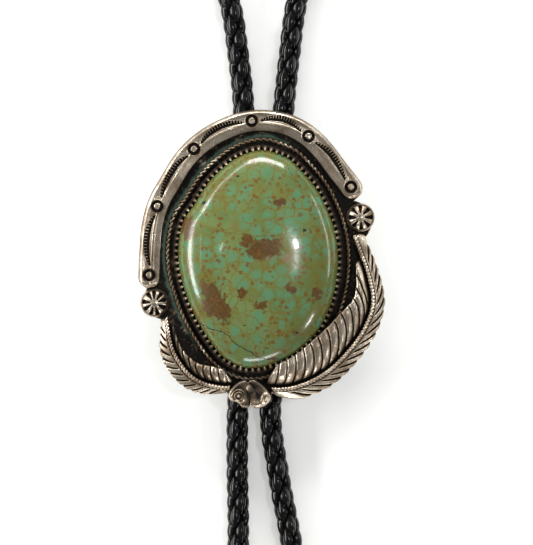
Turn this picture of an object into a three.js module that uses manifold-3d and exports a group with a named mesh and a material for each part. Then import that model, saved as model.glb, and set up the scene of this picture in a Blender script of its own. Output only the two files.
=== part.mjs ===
// A bolo tie: a silver slide with a green turquoise, lying face up on its braided leather cord.
// Millimetres, +Z up, +Y towards the neck. The slide is centred on the origin.

import * as THREE from 'three';
import { mergeVertices } from 'three/addons/utils/BufferGeometryUtils.js';
import Module from 'manifold-3d';

const wasm = await Module();
wasm.setup();

// Sizes of the stone
const STONE_WIDTH = 34.2;
const STONE_HEIGHT = 46.5;
const STONE_EDGE = 1.5;
const STONE_DOME = 6.3;
const STONE_SHIFT = -0.75;
const SEAT_GAP = 0.3;
const SEAT_SHOULDER = 0.02;

// Sizes of the clip and of the cord that runs through it
const CORD_DIAMETER = 5.0;
const CORD_CLEARANCE = 0.35;
const CORD_SPACING = 7.7;
const CLIP_SHIFT = -0.45;
const CLIP_WALL = 0.65;
const CLIP_SIDE = 1.6;
const CLIP_LENGTH = 26.0;

// Sizes of the silver
const PLATE_THICKNESS = 1.0;
const PLATE_MARGIN = 0.3;
const BEZEL_WALL = 0.7;
const BEZEL_HEIGHT = 3.5;
const TOOTH_PITCH = 1.28;
const TOOTH_HEIGHT = 0.95;
const TOOTH_LEAN = 0.3;
const TOOTH_NOTCH = 0.2;
const TOOTH_WEB = 0.3;
const WIRE_DIAMETER = 0.9;
const WIRE_SPACING = 0.75;
const SIDE_MARGIN = 6.7;
const END_MARGIN = 5.95;
const BAR_WIDTH = 4.6;
const BAR_HEIGHT = 2.4;
const BAR_WALL_DROP = 1.1;
const BAR_INNER_DROP = 0.45;
const BAR_OUTER_DROP = 0.3;
const RING_STAMP_DIAMETER = 2.75;
const RING_DOT_DIAMETER = 1.1;
const STAMP_DEPTH = 0.45;
const BUTTON_DIAMETER = 6.1;
const BUTTON_HEIGHT = 2.7;
const BUTTON_RIM_HEIGHT = 0.75;
const BUTTON_SHOULDER_HEIGHT = 1.05;
const RIB_WIDTH = 1.1;
const RIB_HEIGHT = 2.3;
const RIB_CHAMFER = 0.4;
const RIB_END = 0.97;
const VANE_GAP = 0.3;
const VANE_ROUNDING = 1.8;
const VANE_POINT_ROUNDING = 0.6;
const OUTER_VANE_ROOT = 1.8;
const OUTER_VANE_EDGE = 0.7;
const OUTER_VANE_RISE = 0.5;
const OUTER_VANE_CHAMFER = 0.3;
const GROOVE_WIDTH = 0.3;
const GROOVE_DEPTH = 0.4;
const FLOWER_WIDTH = 9.4;
const FLOWER_HEIGHT = 6.3;
const FLOWER_RISE = 2.5;
const FLOWER_RIM_DROP = 0.7;
const FLOWER_DISH = 0.35;
const FLOWER_SLOT_DEPTH = 0.6;

// Sizes of the metal tips
const TIP_LENGTH = 46.0;
const TIP_MOUTH_RADIUS = 2.9;
const TIP_END_RADIUS = 1.7;
const TIP_GAP = 0.3;

// Levels above the surface that the tie lies on
const CHANNEL_RADIUS = CORD_DIAMETER / 2 + CORD_CLEARANCE;
const CLIP_TOP = 2 * (CHANNEL_RADIUS + CLIP_WALL);
const PLATE_BOTTOM = CLIP_TOP + SEAT_GAP;
const PLATE_TOP = PLATE_BOTTOM + PLATE_THICKNESS;
const STONE_BOTTOM = PLATE_TOP + SEAT_GAP;
const SINK = 0.2;

// How far each border reaches from the edge of the stone
const BEZEL_REACH = SEAT_GAP + BEZEL_WALL;
const WIRE_REACH = BEZEL_REACH + WIRE_SPACING + WIRE_DIAMETER / 2;
const RIM_REACH = WIRE_REACH + WIRE_DIAMETER / 2;
const HALF_WIDTH = STONE_WIDTH / 2 + RIM_REACH + SIDE_MARGIN;
const HALF_HEIGHT = STONE_HEIGHT / 2 + RIM_REACH + END_MARGIN;

// Outline of the stone from its top, clockwise, as shares of its half width and half height
const STONE_OUTLINE = [
  [0.05, 1.0], [0.28, 0.955], [0.41, 0.905], [0.57, 0.79], [0.735, 0.64], [0.865, 0.455],
  [0.965, 0.24], [1.0, 0.0], [0.975, -0.22], [0.89, -0.455], [0.75, -0.655], [0.53, -0.825],
  [0.28, -0.935], [-0.02, -1.0], [-0.235, -0.985], [-0.455, -0.885], [-0.655, -0.695],
  [-0.8, -0.505], [-0.895, -0.33], [-0.98, -0.1], [-0.995, 0.1], [-0.935, 0.34], [-0.795, 0.5],
  [-0.63, 0.69], [-0.455, 0.825], [-0.225, 0.945],
];

// Middle line of the stamped bar, from its lower left end round to its right end, and the places of
// its ring stamps, as shares of the half width and half height and of the length of the line
const BAR_LINE = [
  [-0.905, -0.193], [-0.894, 0.06], [-0.875, 0.227], [-0.826, 0.373], [-0.737, 0.507],
  [-0.605, 0.678], [-0.442, 0.8], [-0.229, 0.889], [-0.063, 0.922], [0.132, 0.912],
  [0.271, 0.874], [0.388, 0.811], [0.499, 0.719], [0.615, 0.591], [0.701, 0.5], [0.773, 0.413],
];
const RING_STAMPS = [0.036, 0.232, 0.425, 0.609, 0.779, 0.966];
const BAR_STEPS = 28;

// Feathers: the line of the rib from the narrow end, and the widths of the vanes along it as shares
const RIGHT_FEATHER = {
  rib: [
    [0.743, 0.16], [0.807, 0.02], [0.847, -0.073], [0.879, -0.173], [0.895, -0.253],
    [0.887, -0.34], [0.823, -0.473], [0.71, -0.607], [0.55, -0.74], [0.389, -0.82],
    [0.229, -0.863], [0.1, -0.868], [0.036, -0.857],
  ],
  outside: 1,
  vaneStart: 0.115,
  innerWidth: 6.5,
  innerShares: [0.15, 0.35, 0.61, 0.85, 0.93, 1.0, 0.97, 0.86, 0.62],
  innerHeight: 3.8,
  innerGrooves: 13,
  outerWidth: 2.45,
  outerShares: [0.62, 0.74, 0.82, 0.87, 0.91, 0.96, 1.0, 0.92, 0.25],
  outerGrooves: 17,
  steps: 20,
};
const LEFT_FEATHER = {
  rib: [
    [-0.767, -0.393], [-0.751, -0.473], [-0.735, -0.553], [-0.702, -0.633], [-0.654, -0.7],
    [-0.598, -0.76], [-0.526, -0.807], [-0.446, -0.837], [-0.365, -0.853], [-0.285, -0.86],
    [-0.229, -0.853],
  ],
  outside: -1,
  vaneStart: 0.07,
  innerWidth: 3.35,
  innerShares: [0.12, 0.24, 0.34, 0.46, 0.64, 0.86, 0.99, 0.93, 0.62],
  innerHeight: 2.9,
  innerGrooves: 9,
  outerWidth: 2.5,
  outerShares: [0.3, 0.5, 0.8, 0.97, 0.98, 0.9, 0.74, 0.42, 0.12],
  outerGrooves: 12,
  steps: 14,
};

// The heights of the inner vane across its width, from the rib to its free edge, as shares.
const INNER_SECTION = [0.3, 0.58, 0.76, 0.88, 0.95, 1.0, 1.0, 0.96];

// Places of the buttons and the flower, and the outline of the flower from its top notch, clockwise
const LEFT_BUTTON = { place: [-0.859, -0.293], grooves: 9, turn: 0.2 };
const RIGHT_BUTTON = { place: [0.795, 0.277], grooves: 8, turn: 0 };
const FLOWER_PLACE = [-0.1, -0.9];
const FLOWER_OUTLINE = [
  [-0.05, 0.8], [0.05, 0.97], [0.3, 0.95], [0.58, 0.66], [0.86, 0.22], [1.0, -0.28], [0.8, -0.72],
  [0.5, -0.95], [0.25, -0.93], [0.08, -0.72], [-0.06, -0.93], [-0.3, -0.92], [-0.5, -0.6],
  [-0.85, -0.42], [-0.96, 0.0], [-0.7, 0.55], [-0.42, 0.85], [-0.15, 0.97],
];

// Route of the cord from tip to tip: through the clip, up, round the neck and back down
const CORD_FLOOR = CORD_DIAMETER / 2 + 0.02;
const CORD_INSIDE = CLIP_WALL + CHANNEL_RADIUS;
const CORD_IN_TIP = TIP_MOUTH_RADIUS - 0.05;
const LEFT_CHANNEL = CLIP_SHIFT - CORD_SPACING / 2;
const RIGHT_CHANNEL = CLIP_SHIFT + CORD_SPACING / 2;
const LEFT_TIP_TURN = 0;
const RIGHT_TIP_TURN = 0.18;
const CORD_ROUTE = [
  [-5.0, -63.0, CORD_IN_TIP], [-5.0, -55.0, CORD_FLOOR], [-5.2, -45.0, CORD_FLOOR],
  [-5.1, -32.0, 2.9], [LEFT_CHANNEL, -20.0, CORD_INSIDE], [LEFT_CHANNEL, -7.0, CORD_INSIDE],
  [LEFT_CHANNEL, 7.0, CORD_INSIDE], [LEFT_CHANNEL, 20.0, CORD_INSIDE], [-3.8, 31.0, 3.0],
  [-4.9, 43.0, CORD_FLOOR], [-7.3, 57.0, CORD_FLOOR], [-13.5, 71.0, CORD_FLOOR],
  [-20.0, 84.0, CORD_FLOOR], [-22.9, 100.0, CORD_FLOOR], [-23.2, 130.0, CORD_FLOOR],
  [-23.2, 160.0, CORD_FLOOR], [-23.2, 193.5, CORD_FLOOR], [-20.3, 200.5, CORD_FLOOR],
  [-13.3, 203.4, CORD_FLOOR], [-6.3, 200.5, CORD_FLOOR], [-3.4, 193.5, CORD_FLOOR],
  [-6.5, 177.0, CORD_FLOOR], [-9.5, 160.0, CORD_FLOOR], [-10.0, 135.0, CORD_FLOOR],
  [-10.0, 110.0, CORD_FLOOR], [-10.0, 91.0, CORD_FLOOR], [-8.7, 86.0, CORD_FLOOR],
  [-5.0, 82.4, CORD_FLOOR], [0.0, 81.0, CORD_FLOOR], [5.0, 82.4, CORD_FLOOR],
  [8.7, 86.0, CORD_FLOOR], [10.0, 91.0, CORD_FLOOR],
  [10.0, 110.0, CORD_FLOOR], [10.0, 135.0, CORD_FLOOR], [9.5, 160.0, CORD_FLOOR],
  [6.5, 177.0, CORD_FLOOR], [3.4, 193.5, CORD_FLOOR], [6.3, 200.5, CORD_FLOOR],
  [13.3, 203.4, CORD_FLOOR], [20.3, 200.5, CORD_FLOOR], [23.2, 193.5, CORD_FLOOR],
  [23.2, 160.0, CORD_FLOOR], [23.2, 130.0, CORD_FLOOR], [22.9, 100.0, CORD_FLOOR],
  [20.0, 84.0, CORD_FLOOR], [13.8, 71.0, CORD_FLOOR], [8.0, 57.0, CORD_FLOOR],
  [5.9, 43.0, CORD_FLOOR], [4.6, 31.0, 3.0], [RIGHT_CHANNEL, 20.0, CORD_INSIDE],
  [RIGHT_CHANNEL, 7.0, CORD_INSIDE], [RIGHT_CHANNEL, -7.0, CORD_INSIDE],
  [RIGHT_CHANNEL, -20.0, CORD_INSIDE], [1.9, -33.0, 2.9], [3.6, -46.0, CORD_FLOOR],
  [5.7, -57.0, CORD_FLOOR], [6.8, -63.0, CORD_IN_TIP],
];

// Turns a closed geometry into a solid, with its faces pointing out.
function solidOf(geometry) {
  const bare = new THREE.BufferGeometry();
  bare.setAttribute('position', geometry.attributes.position.clone());
  bare.setIndex(geometry.index ? geometry.index.clone() : null);
  const merged = mergeVertices(bare, 1e-5);
  const vertProperties = new Float32Array(merged.attributes.position.array);
  const triVerts = new Uint32Array(merged.index.array).filter((_, i, all) => {
    const [a, b, c] = all.slice(i - (i % 3), i - (i % 3) + 3);
    return a !== b && b !== c && c !== a;
  });
  const corner = (i) => new THREE.Vector3().fromArray(vertProperties, 3 * triVerts[i]);
  let volume = 0;
  for (let i = 0; i < triVerts.length; i += 3) {
    volume += corner(i).dot(corner(i + 1).cross(corner(i + 2)));
  }
  if (volume < 0) triVerts.reverse();
  return new wasm.Manifold(new wasm.Mesh({ numProp: 3, vertProperties, triVerts }));
}

// Turns a finished solid into a named mesh.
function meshOf(name, solid, material) {
  const { vertProperties, triVerts } = solid.getMesh();
  const geometry = new THREE.BufferGeometry();
  geometry.setAttribute('position', new THREE.BufferAttribute(vertProperties, 3));
  geometry.setIndex(new THREE.BufferAttribute(triVerts, 1));
  geometry.computeVertexNormals();
  const mesh = new THREE.Mesh(geometry, material);
  mesh.name = name;
  return mesh;
}

// Joins solids into one.
function join(...solids) {
  return solids.flat().reduce((whole, solid) => whole.add(solid));
}

// The triangles that fill any simple loop, each turning the way that the loop turns.
function fillOutline(outline) {
  const turn = THREE.ShapeUtils.area(outline);
  return THREE.ShapeUtils.triangulateShape(outline, []).map(([a, b, c]) => {
    const area = THREE.ShapeUtils.area([outline[a], outline[b], outline[c]]);
    return area * turn > 0 ? [a, b, c] : [a, c, b];
  });
}

// The triangles that fill a loop of two sides, like the rungs of a ladder.
function fillLadder(outline) {
  const size = outline.length;
  const faces = [[0, 1, size - 1]];
  for (let i = 1; i < size / 2; i += 1) {
    faces.push([i, i + 1, size - i]);
    if (i + 1 < size / 2) faces.push([i + 1, size - i - 1, size - i]);
  }
  return faces;
}

// A solid through a stack of loops with the same number of points, closed below and on top.
function loft(loops, fill = fillOutline) {
  const size = loops[0].length;
  const corners = loops.flat();
  const flat = (loop) => loop.map((p) => new THREE.Vector2(p.x, p.y));
  const faces = [];
  for (let level = 0; level + 1 < loops.length; level += 1) {
    for (let i = 0; i < size; i += 1) {
      const a = level * size + i;
      const b = level * size + ((i + 1) % size);
      faces.push(a, b, b + size, a, b + size, a + size);
    }
  }
  const cap = (loop, base, up) => {
    for (const [a, b, c] of fill(flat(loop))) {
      if (up) faces.push(base + a, base + b, base + c);
      else faces.push(base + a, base + c, base + b);
    }
  };
  cap(loops[0], 0, false);
  cap(loops[loops.length - 1], (loops.length - 1) * size, true);
  const geometry = new THREE.BufferGeometry().setFromPoints(corners);
  geometry.setIndex(faces);
  return solidOf(geometry);
}

// The loop lifted to a height.
function atHeight(loop, z) {
  return loop.map((p) => new THREE.Vector3(p.x, p.y, z));
}

// A flat-topped solid over an outline.
function prism(loop, low, high) {
  return loft([atHeight(loop, low), atHeight(loop, high)]);
}

// A circle of points.
function circle([x, y], radius, count) {
  return Array.from({ length: count }, (_, i) => {
    const angle = (2 * Math.PI * i) / count;
    return new THREE.Vector3(x + radius * Math.cos(angle), y + radius * Math.sin(angle), 0);
  });
}

// A place on the slide from shares of its half width and half height.
function place([x, y]) {
  return new THREE.Vector3(x * HALF_WIDTH, y * HALF_HEIGHT, 0);
}

// A value read from evenly spaced entries, at a share of their length.
function readEntries(entries, share) {
  const at = THREE.MathUtils.clamp(share, 0, 1) * (entries.length - 1);
  const low = Math.min(Math.floor(at), entries.length - 2);
  return THREE.MathUtils.lerp(entries[low], entries[low + 1], at - low);
}

const stoneEdge = new THREE.CatmullRomCurve3(
  STONE_OUTLINE.map(([x, y]) => new THREE.Vector3(
    STONE_SHIFT + (x * STONE_WIDTH) / 2, (y * STONE_HEIGHT) / 2, 0)),
  true,
);

// A point at a share of the way round the stone, a distance outside its edge.
function rimPoint(share, reach, z) {
  const point = stoneEdge.getPointAt(share);
  const along = stoneEdge.getTangentAt(share);
  return new THREE.Vector3(point.x - along.y * reach, point.y + along.x * reach, z);
}

// A loop of points round the stone.
function rimLoop(count, reach, z) {
  return Array.from({ length: count }, (_, i) => rimPoint(i / count, reach, z));
}

// A closed ring round the stone; section(i) gives its corners as [reach, height], outermost first.
function rimRing(count, section) {
  const corners = [];
  for (let i = 0; i < count; i += 1) {
    for (const [reach, z] of section(i)) corners.push(rimPoint(i / count, reach, z));
  }
  const size = corners.length / count;
  const faces = [];
  for (let i = 0; i < count; i += 1) {
    for (let j = 0; j < size; j += 1) {
      const a = i * size + j;
      const b = i * size + ((j + 1) % size);
      const c = ((i + 1) % count) * size + ((j + 1) % size);
      const d = ((i + 1) % count) * size + j;
      faces.push(a, b, c, a, c, d);
    }
  }
  const geometry = new THREE.BufferGeometry().setFromPoints(corners);
  geometry.setIndex(faces);
  return solidOf(geometry);
}

// A curve on the slide through places given as shares.
function lineThrough(places) {
  return new THREE.CatmullRomCurve3(places.map(place));
}

// A point at a share along a curve, a distance to the left of it.
function beside(curve, share, reach, z = 0) {
  const at = THREE.MathUtils.clamp(share, 0, 1);
  const point = curve.getPointAt(at);
  const along = curve.getTangentAt(at);
  return new THREE.Vector3(point.x - along.y * reach, point.y + along.x * reach, z);
}

// A loop that runs along a curve between two borders and has a point at each end. Each layer holds
// the shares of the way across at which its two sides run, their heights, and how far its ends are
// drawn in.
function stripLoop(curve, span, borders, layer, steps) {
  const length = curve.getLength();
  const from = span[0] + layer.draw / length;
  const to = span[1] - layer.draw / length;
  const sideA = [];
  const sideB = [];
  for (let i = 0; i <= steps; i += 1) {
    const share = from + (to - from) * (0.5 - 0.5 * Math.cos((Math.PI * i) / steps));
    const [near, far] = borders((share - span[0]) / (span[1] - span[0]));
    const a = near + (far - near) * layer.a;
    const b = near + (far - near) * layer.b;
    if (i === 0 || i === steps) {
      sideA.push(beside(curve, share, (a + b) / 2, (layer.za + layer.zb) / 2));
    } else {
      sideA.push(beside(curve, share, a, layer.za));
      sideB.push(beside(curve, share, b, layer.zb));
    }
  }
  return [...sideA, ...sideB.reverse()];
}

// A solid between two borders along a curve, from its layers.
function strip(curve, span, borders, layers, steps) {
  return loft(layers.map((layer) => stripLoop(curve, span, borders, layer, steps)), fillLadder);
}

// A narrow cutter over a line of floor points.
function slot(floor, width, top) {
  const left = [];
  const right = [];
  floor.forEach((p, i) => {
    const before = floor[Math.max(i - 1, 0)];
    const after = floor[Math.min(i + 1, floor.length - 1)];
    const side = new THREE.Vector3(before.y - after.y, after.x - before.x, 0);
    side.setLength(width / 2);
    left.push(p.clone().add(side));
    right.push(p.clone().sub(side));
  });
  const low = [...left, ...right.reverse()];
  return loft([low, atHeight(low, top)], fillLadder);
}

// The share of the full width left near a round end.
function roundEnd(distance, radius) {
  const inside = Math.max(0, 1 - distance / radius);
  return Math.sqrt(Math.max(0, 1 - inside * inside));
}

// The domed stone.
function stoneSolid() {
  const count = 52;
  const dome = 7;
  const edge = rimLoop(count, 0, STONE_BOTTOM);
  const loops = [edge, atHeight(edge, STONE_BOTTOM + STONE_EDGE)];
  const centre = new THREE.Vector3(STONE_SHIFT, 0, 0);
  for (let k = 1; k <= dome; k += 1) {
    const angle = (k / (dome + 0.3)) * (Math.PI / 2);
    const z = STONE_BOTTOM + STONE_EDGE + STONE_DOME * Math.sin(angle);
    loops.push(edge.map((p) => centre.clone().lerp(p, Math.cos(angle) ** 0.9).setZ(z)));
  }
  return loft(loops);
}

// The saw-toothed wall that holds the stone.
function bezelSolid() {
  const teeth = Math.round(stoneEdge.getLength() / TOOTH_PITCH);
  const root = PLATE_TOP + BEZEL_HEIGHT - TOOTH_HEIGHT;
  return rimRing(2 * teeth, (i) => {
    const edge = i % 2 ? [SEAT_GAP + TOOTH_NOTCH, root] : [-TOOTH_LEAN, root + TOOTH_HEIGHT];
    return [
      [BEZEL_REACH, PLATE_TOP - SINK],
      edge,
      [SEAT_GAP + SEAT_SHOULDER, root - TOOTH_WEB],
      [SEAT_GAP + SEAT_SHOULDER, PLATE_TOP - SINK],
    ];
  });
}

// The wire border round the bezel, soldered down along its whole width.
function wireSolid() {
  const radius = WIRE_DIAMETER / 2;
  const section = [
    [WIRE_REACH + radius, PLATE_TOP - SINK],
    [WIRE_REACH + radius, PLATE_TOP + radius],
    [WIRE_REACH, PLATE_TOP + WIRE_DIAMETER],
    [WIRE_REACH - radius, PLATE_TOP + radius],
    [WIRE_REACH - radius, PLATE_TOP - SINK],
  ];
  return rimRing(72, () => section);
}

const barLine = lineThrough(BAR_LINE);
const barLength = barLine.getLength();

// The borders of the bar at a share of its length, widened by a margin.
function barBorders(margin) {
  return (share) => {
    const half = BAR_WIDTH / 2 + margin;
    const end = Math.min(share, 1 - share) * barLength;
    const reach = half * roundEnd(end, half);
    return [-reach, reach];
  };
}

// The domed crescent bar with its ring stamps and the hollows of its crescent stamps.
function barSolid() {
  const top = PLATE_TOP + BAR_HEIGHT;
  const layers = [
    { a: 0, b: 1, za: PLATE_TOP - SINK, zb: PLATE_TOP - SINK, draw: 0 },
    { a: 0, b: 1, za: top - BAR_WALL_DROP, zb: top - BAR_WALL_DROP, draw: 0 },
    { a: 0.13, b: 0.9, za: top - BAR_INNER_DROP, zb: top - BAR_OUTER_DROP, draw: 0.35 },
    { a: 0.34, b: 0.76, za: top, zb: top, draw: 1.0 },
  ];
  let bar = strip(barLine, [0, 1], barBorders(0), layers, BAR_STEPS);
  for (const share of RING_STAMPS) {
    const centre = barLine.getPointAt(share);
    const groove = ringCutter(RING_DOT_DIAMETER / 2, RING_STAMP_DIAMETER / 2, STAMP_DEPTH, 12);
    bar = bar.subtract(groove.translate([centre.x, centre.y, top]));
  }
  const clear = (RING_STAMP_DIAMETER / 2 + 0.5) / barLength;
  RING_STAMPS.slice(1).forEach((next, i) => {
    const span = [RING_STAMPS[i] + clear, next - clear];
    const lens = (share) => {
      const bulge = Math.sin(Math.PI * THREE.MathUtils.clamp(share, 0.03, 0.97));
      return [0.02 - 0.08 * BAR_WIDTH * bulge, 0.05 + 0.2 * BAR_WIDTH * bulge];
    };
    const hollow = [
      { a: 0, b: 1, za: top - STAMP_DEPTH, zb: top - STAMP_DEPTH, draw: 0 },
      { a: 0, b: 1, za: top + 1, zb: top + 1, draw: 0 },
    ];
    bar = bar.subtract(strip(barLine, span, lens, hollow, 6));
  });
  return bar;
}

// A ring that sinks into the origin from above.
function ringCutter(inner, outer, depth, count) {
  const points = [
    [inner, -depth], [outer, -depth], [outer, depth], [inner, depth], [inner, -depth],
  ].map(([x, y]) => new THREE.Vector2(x, y));
  return solidOf(new THREE.LatheGeometry(points, count).rotateX(Math.PI / 2));
}

// A domed button with wedge grooves that spread from its middle.
function buttonSolid({ place: [x, y], grooves, turn }) {
  const radius = BUTTON_DIAMETER / 2;
  const centre = place([x, y]);
  const profile = [
    [0, -SINK], [radius, -SINK], [radius, BUTTON_RIM_HEIGHT],
    [0.93 * radius, BUTTON_SHOULDER_HEIGHT],
    [0.84 * radius, 0.45 * BUTTON_HEIGHT], [0.6 * radius, 0.8 * BUTTON_HEIGHT],
    [0.25 * radius, 0.98 * BUTTON_HEIGHT], [0, BUTTON_HEIGHT],
  ].map(([r, z]) => new THREE.Vector2(r, z));
  let button = solidOf(new THREE.LatheGeometry(profile, 20).rotateX(Math.PI / 2));
  for (let i = 0; i < grooves; i += 1) {
    const angle = turn + (2 * Math.PI * i) / grooves;
    const ray = (r, spread, z) => new THREE.Vector3(
      r * Math.cos(angle + spread), r * Math.sin(angle + spread), z);
    const spread = (0.3 * Math.PI) / grooves;
    const low = [
      ray(0.3 * radius, 0, 0.75 * BUTTON_HEIGHT),
      ray(0.88 * radius, spread, 0.3 * BUTTON_HEIGHT),
      ray(0.88 * radius, -spread, 0.3 * BUTTON_HEIGHT),
    ];
    button = button.subtract(loft([low, atHeight(low, BUTTON_HEIGHT + 1)]));
  }
  return button.translate([centre.x, centre.y, PLATE_TOP]);
}

// The borders of a feather's two vanes along its rib.
function featherBorders(feather, length) {
  const side = feather.outside;
  const start = RIB_WIDTH / 2 + VANE_GAP;
  const end = (1 - feather.vaneStart) * length;
  return {
    inner: (share) => {
      const width = feather.innerWidth * readEntries(feather.innerShares, share);
      const reach = width * roundEnd((1 - share) * end, VANE_ROUNDING)
        * roundEnd(share * end, VANE_POINT_ROUNDING);
      return [-side * start, -side * (start + reach)];
    },
    outer: (share) => {
      const reach = feather.outerWidth * readEntries(feather.outerShares, share);
      return [side * 0.4 * RIB_WIDTH, side * (RIB_WIDTH / 2 + reach)];
    },
    rib: () => [-RIB_WIDTH / 2, RIB_WIDTH / 2],
  };
}

// The slots cut across the inner vane; they sweep towards the wide end as they near the rib.
function innerGrooves(feather, curve, border) {
  const from = feather.vaneStart;
  const span = 1 - from;
  return Array.from({ length: feather.innerGrooves }, (_, i) => {
    const share = 0.07 + (0.86 * i) / (feather.innerGrooves - 1);
    const lean = 0.2 * (1 - share * share);
    const floor = [1.04, 0.66, 0.3, -0.02].map((f) => {
      const along = share + lean * Math.max(0, 1 - f) ** 1.5;
      const [near, far] = border(Math.min(along, 0.985));
      const height = feather.innerHeight * readEntries(INNER_SECTION, f) - GROOVE_DEPTH;
      return beside(curve, from + span * along, near + (far - near) * f, PLATE_TOP + height);
    });
    return slot(floor, GROOVE_WIDTH, PLATE_TOP + feather.innerHeight + 1);
  });
}

// The slots cut across the outer vane; they slant from its free edge towards the wide end.
function outerGrooves(feather, curve, border) {
  return Array.from({ length: feather.outerGrooves }, (_, i) => {
    const share = 0.06 + (0.82 * i) / feather.outerGrooves;
    const floor = [1.06, 0.25].map((f) => {
      const along = share + 0.1 * (1 - f);
      const [near, far] = border(along);
      const height = THREE.MathUtils.lerp(OUTER_VANE_ROOT, OUTER_VANE_EDGE, f) - GROOVE_DEPTH;
      return beside(curve, RIB_END * along, near + (far - near) * f, PLATE_TOP + height);
    });
    return slot(floor, GROOVE_WIDTH, PLATE_TOP + RIB_HEIGHT + 1);
  });
}

// A feather: a high inner vane, a rib and a lower outer vane.
function featherSolid(feather) {
  const curve = lineThrough(feather.rib);
  const borders = featherBorders(feather, curve.getLength());
  const base = PLATE_TOP - SINK;
  const ribTop = PLATE_TOP + RIB_HEIGHT;
  const root = PLATE_TOP + OUTER_VANE_ROOT;
  const edge = PLATE_TOP + OUTER_VANE_EDGE;
  const at = (share) => PLATE_TOP + feather.innerHeight * readEntries(INNER_SECTION, share);
  const inner = strip(curve, [feather.vaneStart, 1], borders.inner, [
    { a: 0, b: 1, za: base, zb: base, draw: 0 },
    { a: 0, b: 1, za: at(0), zb: at(1), draw: 0 },
    { a: 0.15, b: 0.93, za: at(0.15), zb: at(0.9), draw: 0.3 },
    { a: 0.42, b: 0.72, za: at(0.42), zb: at(0.72), draw: 0.8 },
  ], feather.steps);
  const rib = strip(curve, [0, RIB_END], borders.rib, [
    { a: 0, b: 1, za: base, zb: base, draw: 0 },
    { a: 0, b: 1, za: ribTop - RIB_CHAMFER, zb: ribTop - RIB_CHAMFER, draw: 0 },
    { a: 0.3, b: 0.7, za: ribTop, zb: ribTop, draw: 0.3 },
  ], feather.steps);
  const outer = strip(curve, [0, RIB_END], borders.outer, [
    { a: 0, b: 1, za: base, zb: base, draw: 0 },
    { a: 0, b: 1, za: root - OUTER_VANE_CHAMFER, zb: edge, draw: 0 },
    { a: 0.3, b: 0.85, za: root, zb: edge + OUTER_VANE_RISE, draw: 0.4 },
  ], feather.steps);
  const innerCuts = join(innerGrooves(feather, curve, borders.inner));
  const outerCuts = join(outerGrooves(feather, curve, borders.outer));
  return join(inner.subtract(innerCuts), outer.subtract(outerCuts), rib);
}

// The flat web of the backplate under a feather, reaching inwards to the border of the stone.
function featherWeb(feather) {
  const curve = lineThrough(feather.rib);
  const borders = featherBorders(feather, curve.getLength());
  const inwards = 0.85 * SIDE_MARGIN;
  const reach = (share) => {
    const [, far] = borders.outer(share);
    return [-feather.outside * inwards, far];
  };
  const edge = { a: 0, b: 1, draw: 0 };
  return strip(curve, [0, RIB_END], reach, [
    { ...edge, za: PLATE_BOTTOM, zb: PLATE_BOTTOM },
    { ...edge, za: PLATE_TOP, zb: PLATE_TOP },
  ], feather.steps);
}

// The outline of the flower, drawn in by a share.
function flowerLoop(share, z) {
  const centre = place(FLOWER_PLACE);
  return FLOWER_OUTLINE.map(([x, y]) => new THREE.Vector3(
    centre.x + (x * share * FLOWER_WIDTH) / 2, centre.y + (y * share * FLOWER_HEIGHT) / 2, z));
}

// The stamped flower: a rim, a dished face and a knob, with the petals parted by slots.
function flowerSolid() {
  const centre = place(FLOWER_PLACE);
  const top = PLATE_TOP + FLOWER_RISE;
  let flower = loft([
    flowerLoop(1, PLATE_BOTTOM + SINK),
    flowerLoop(1, top - FLOWER_RIM_DROP),
    flowerLoop(0.93, top),
    flowerLoop(0.8, top - FLOWER_DISH),
    flowerLoop(0.3, top - 0.1),
  ]);
  for (const degrees of [97, 28, -25, -86, -143, -172]) {
    const angle = THREE.MathUtils.degToRad(degrees);
    const floor = [0.3, 1.05].map((share) => new THREE.Vector3(
      centre.x + (share * Math.cos(angle) * FLOWER_WIDTH) / 2,
      centre.y + (share * Math.sin(angle) * FLOWER_HEIGHT) / 2,
      top - FLOWER_SLOT_DEPTH,
    ));
    flower = flower.subtract(slot(floor, GROOVE_WIDTH, top + 1));
  }
  return flower;
}

// The sheet that carries everything: its outline is that of what stands on it.
function plateSolid() {
  const edge = { a: 0, b: 1, draw: 0 };
  const levels = [
    { ...edge, za: PLATE_BOTTOM, zb: PLATE_BOTTOM },
    { ...edge, za: PLATE_TOP, zb: PLATE_TOP },
  ];
  const barReach = (share) => {
    const [near, far] = barBorders(0)(share);
    return [near * (1 + (0.7 * SIDE_MARGIN) / BAR_WIDTH), far];
  };
  const disc = (at, radius) => {
    const centre = place(at);
    return prism(circle([centre.x, centre.y], radius, 20), PLATE_BOTTOM, PLATE_TOP);
  };
  const seats = [LEFT_BUTTON, RIGHT_BUTTON].flatMap((button) => [
    disc(button.place, BUTTON_DIAMETER / 2),
    disc(button.place.map((share) => 0.9 * share), 0.76 * BUTTON_DIAMETER),
  ]);
  return join(
    prism(rimLoop(56, RIM_REACH + PLATE_MARGIN, 0), PLATE_BOTTOM, PLATE_TOP),
    strip(barLine, [0, 1], barReach, levels, BAR_STEPS),
    seats,
    disc([FLOWER_PLACE[0], FLOWER_PLACE[1] + 0.1], 0.6 * FLOWER_WIDTH),
    featherWeb(RIGHT_FEATHER),
    featherWeb(LEFT_FEATHER),
    prism(flowerLoop(1, 0), PLATE_BOTTOM, PLATE_TOP),
  );
}

// All the soldered silver as one solid, kept clear of the stone.
function slideSolid() {
  const socket = prism(rimLoop(56, SEAT_GAP, 0), PLATE_TOP, PLATE_TOP + 2 * BEZEL_HEIGHT);
  const feathers = join(featherSolid(RIGHT_FEATHER), featherSolid(LEFT_FEATHER));
  return join(
    plateSolid(),
    bezelSolid(),
    wireSolid(),
    barSolid(),
    buttonSolid(LEFT_BUTTON),
    buttonSolid(RIGHT_BUTTON),
    feathers.subtract(socket),
    flowerSolid(),
  );
}

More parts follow.
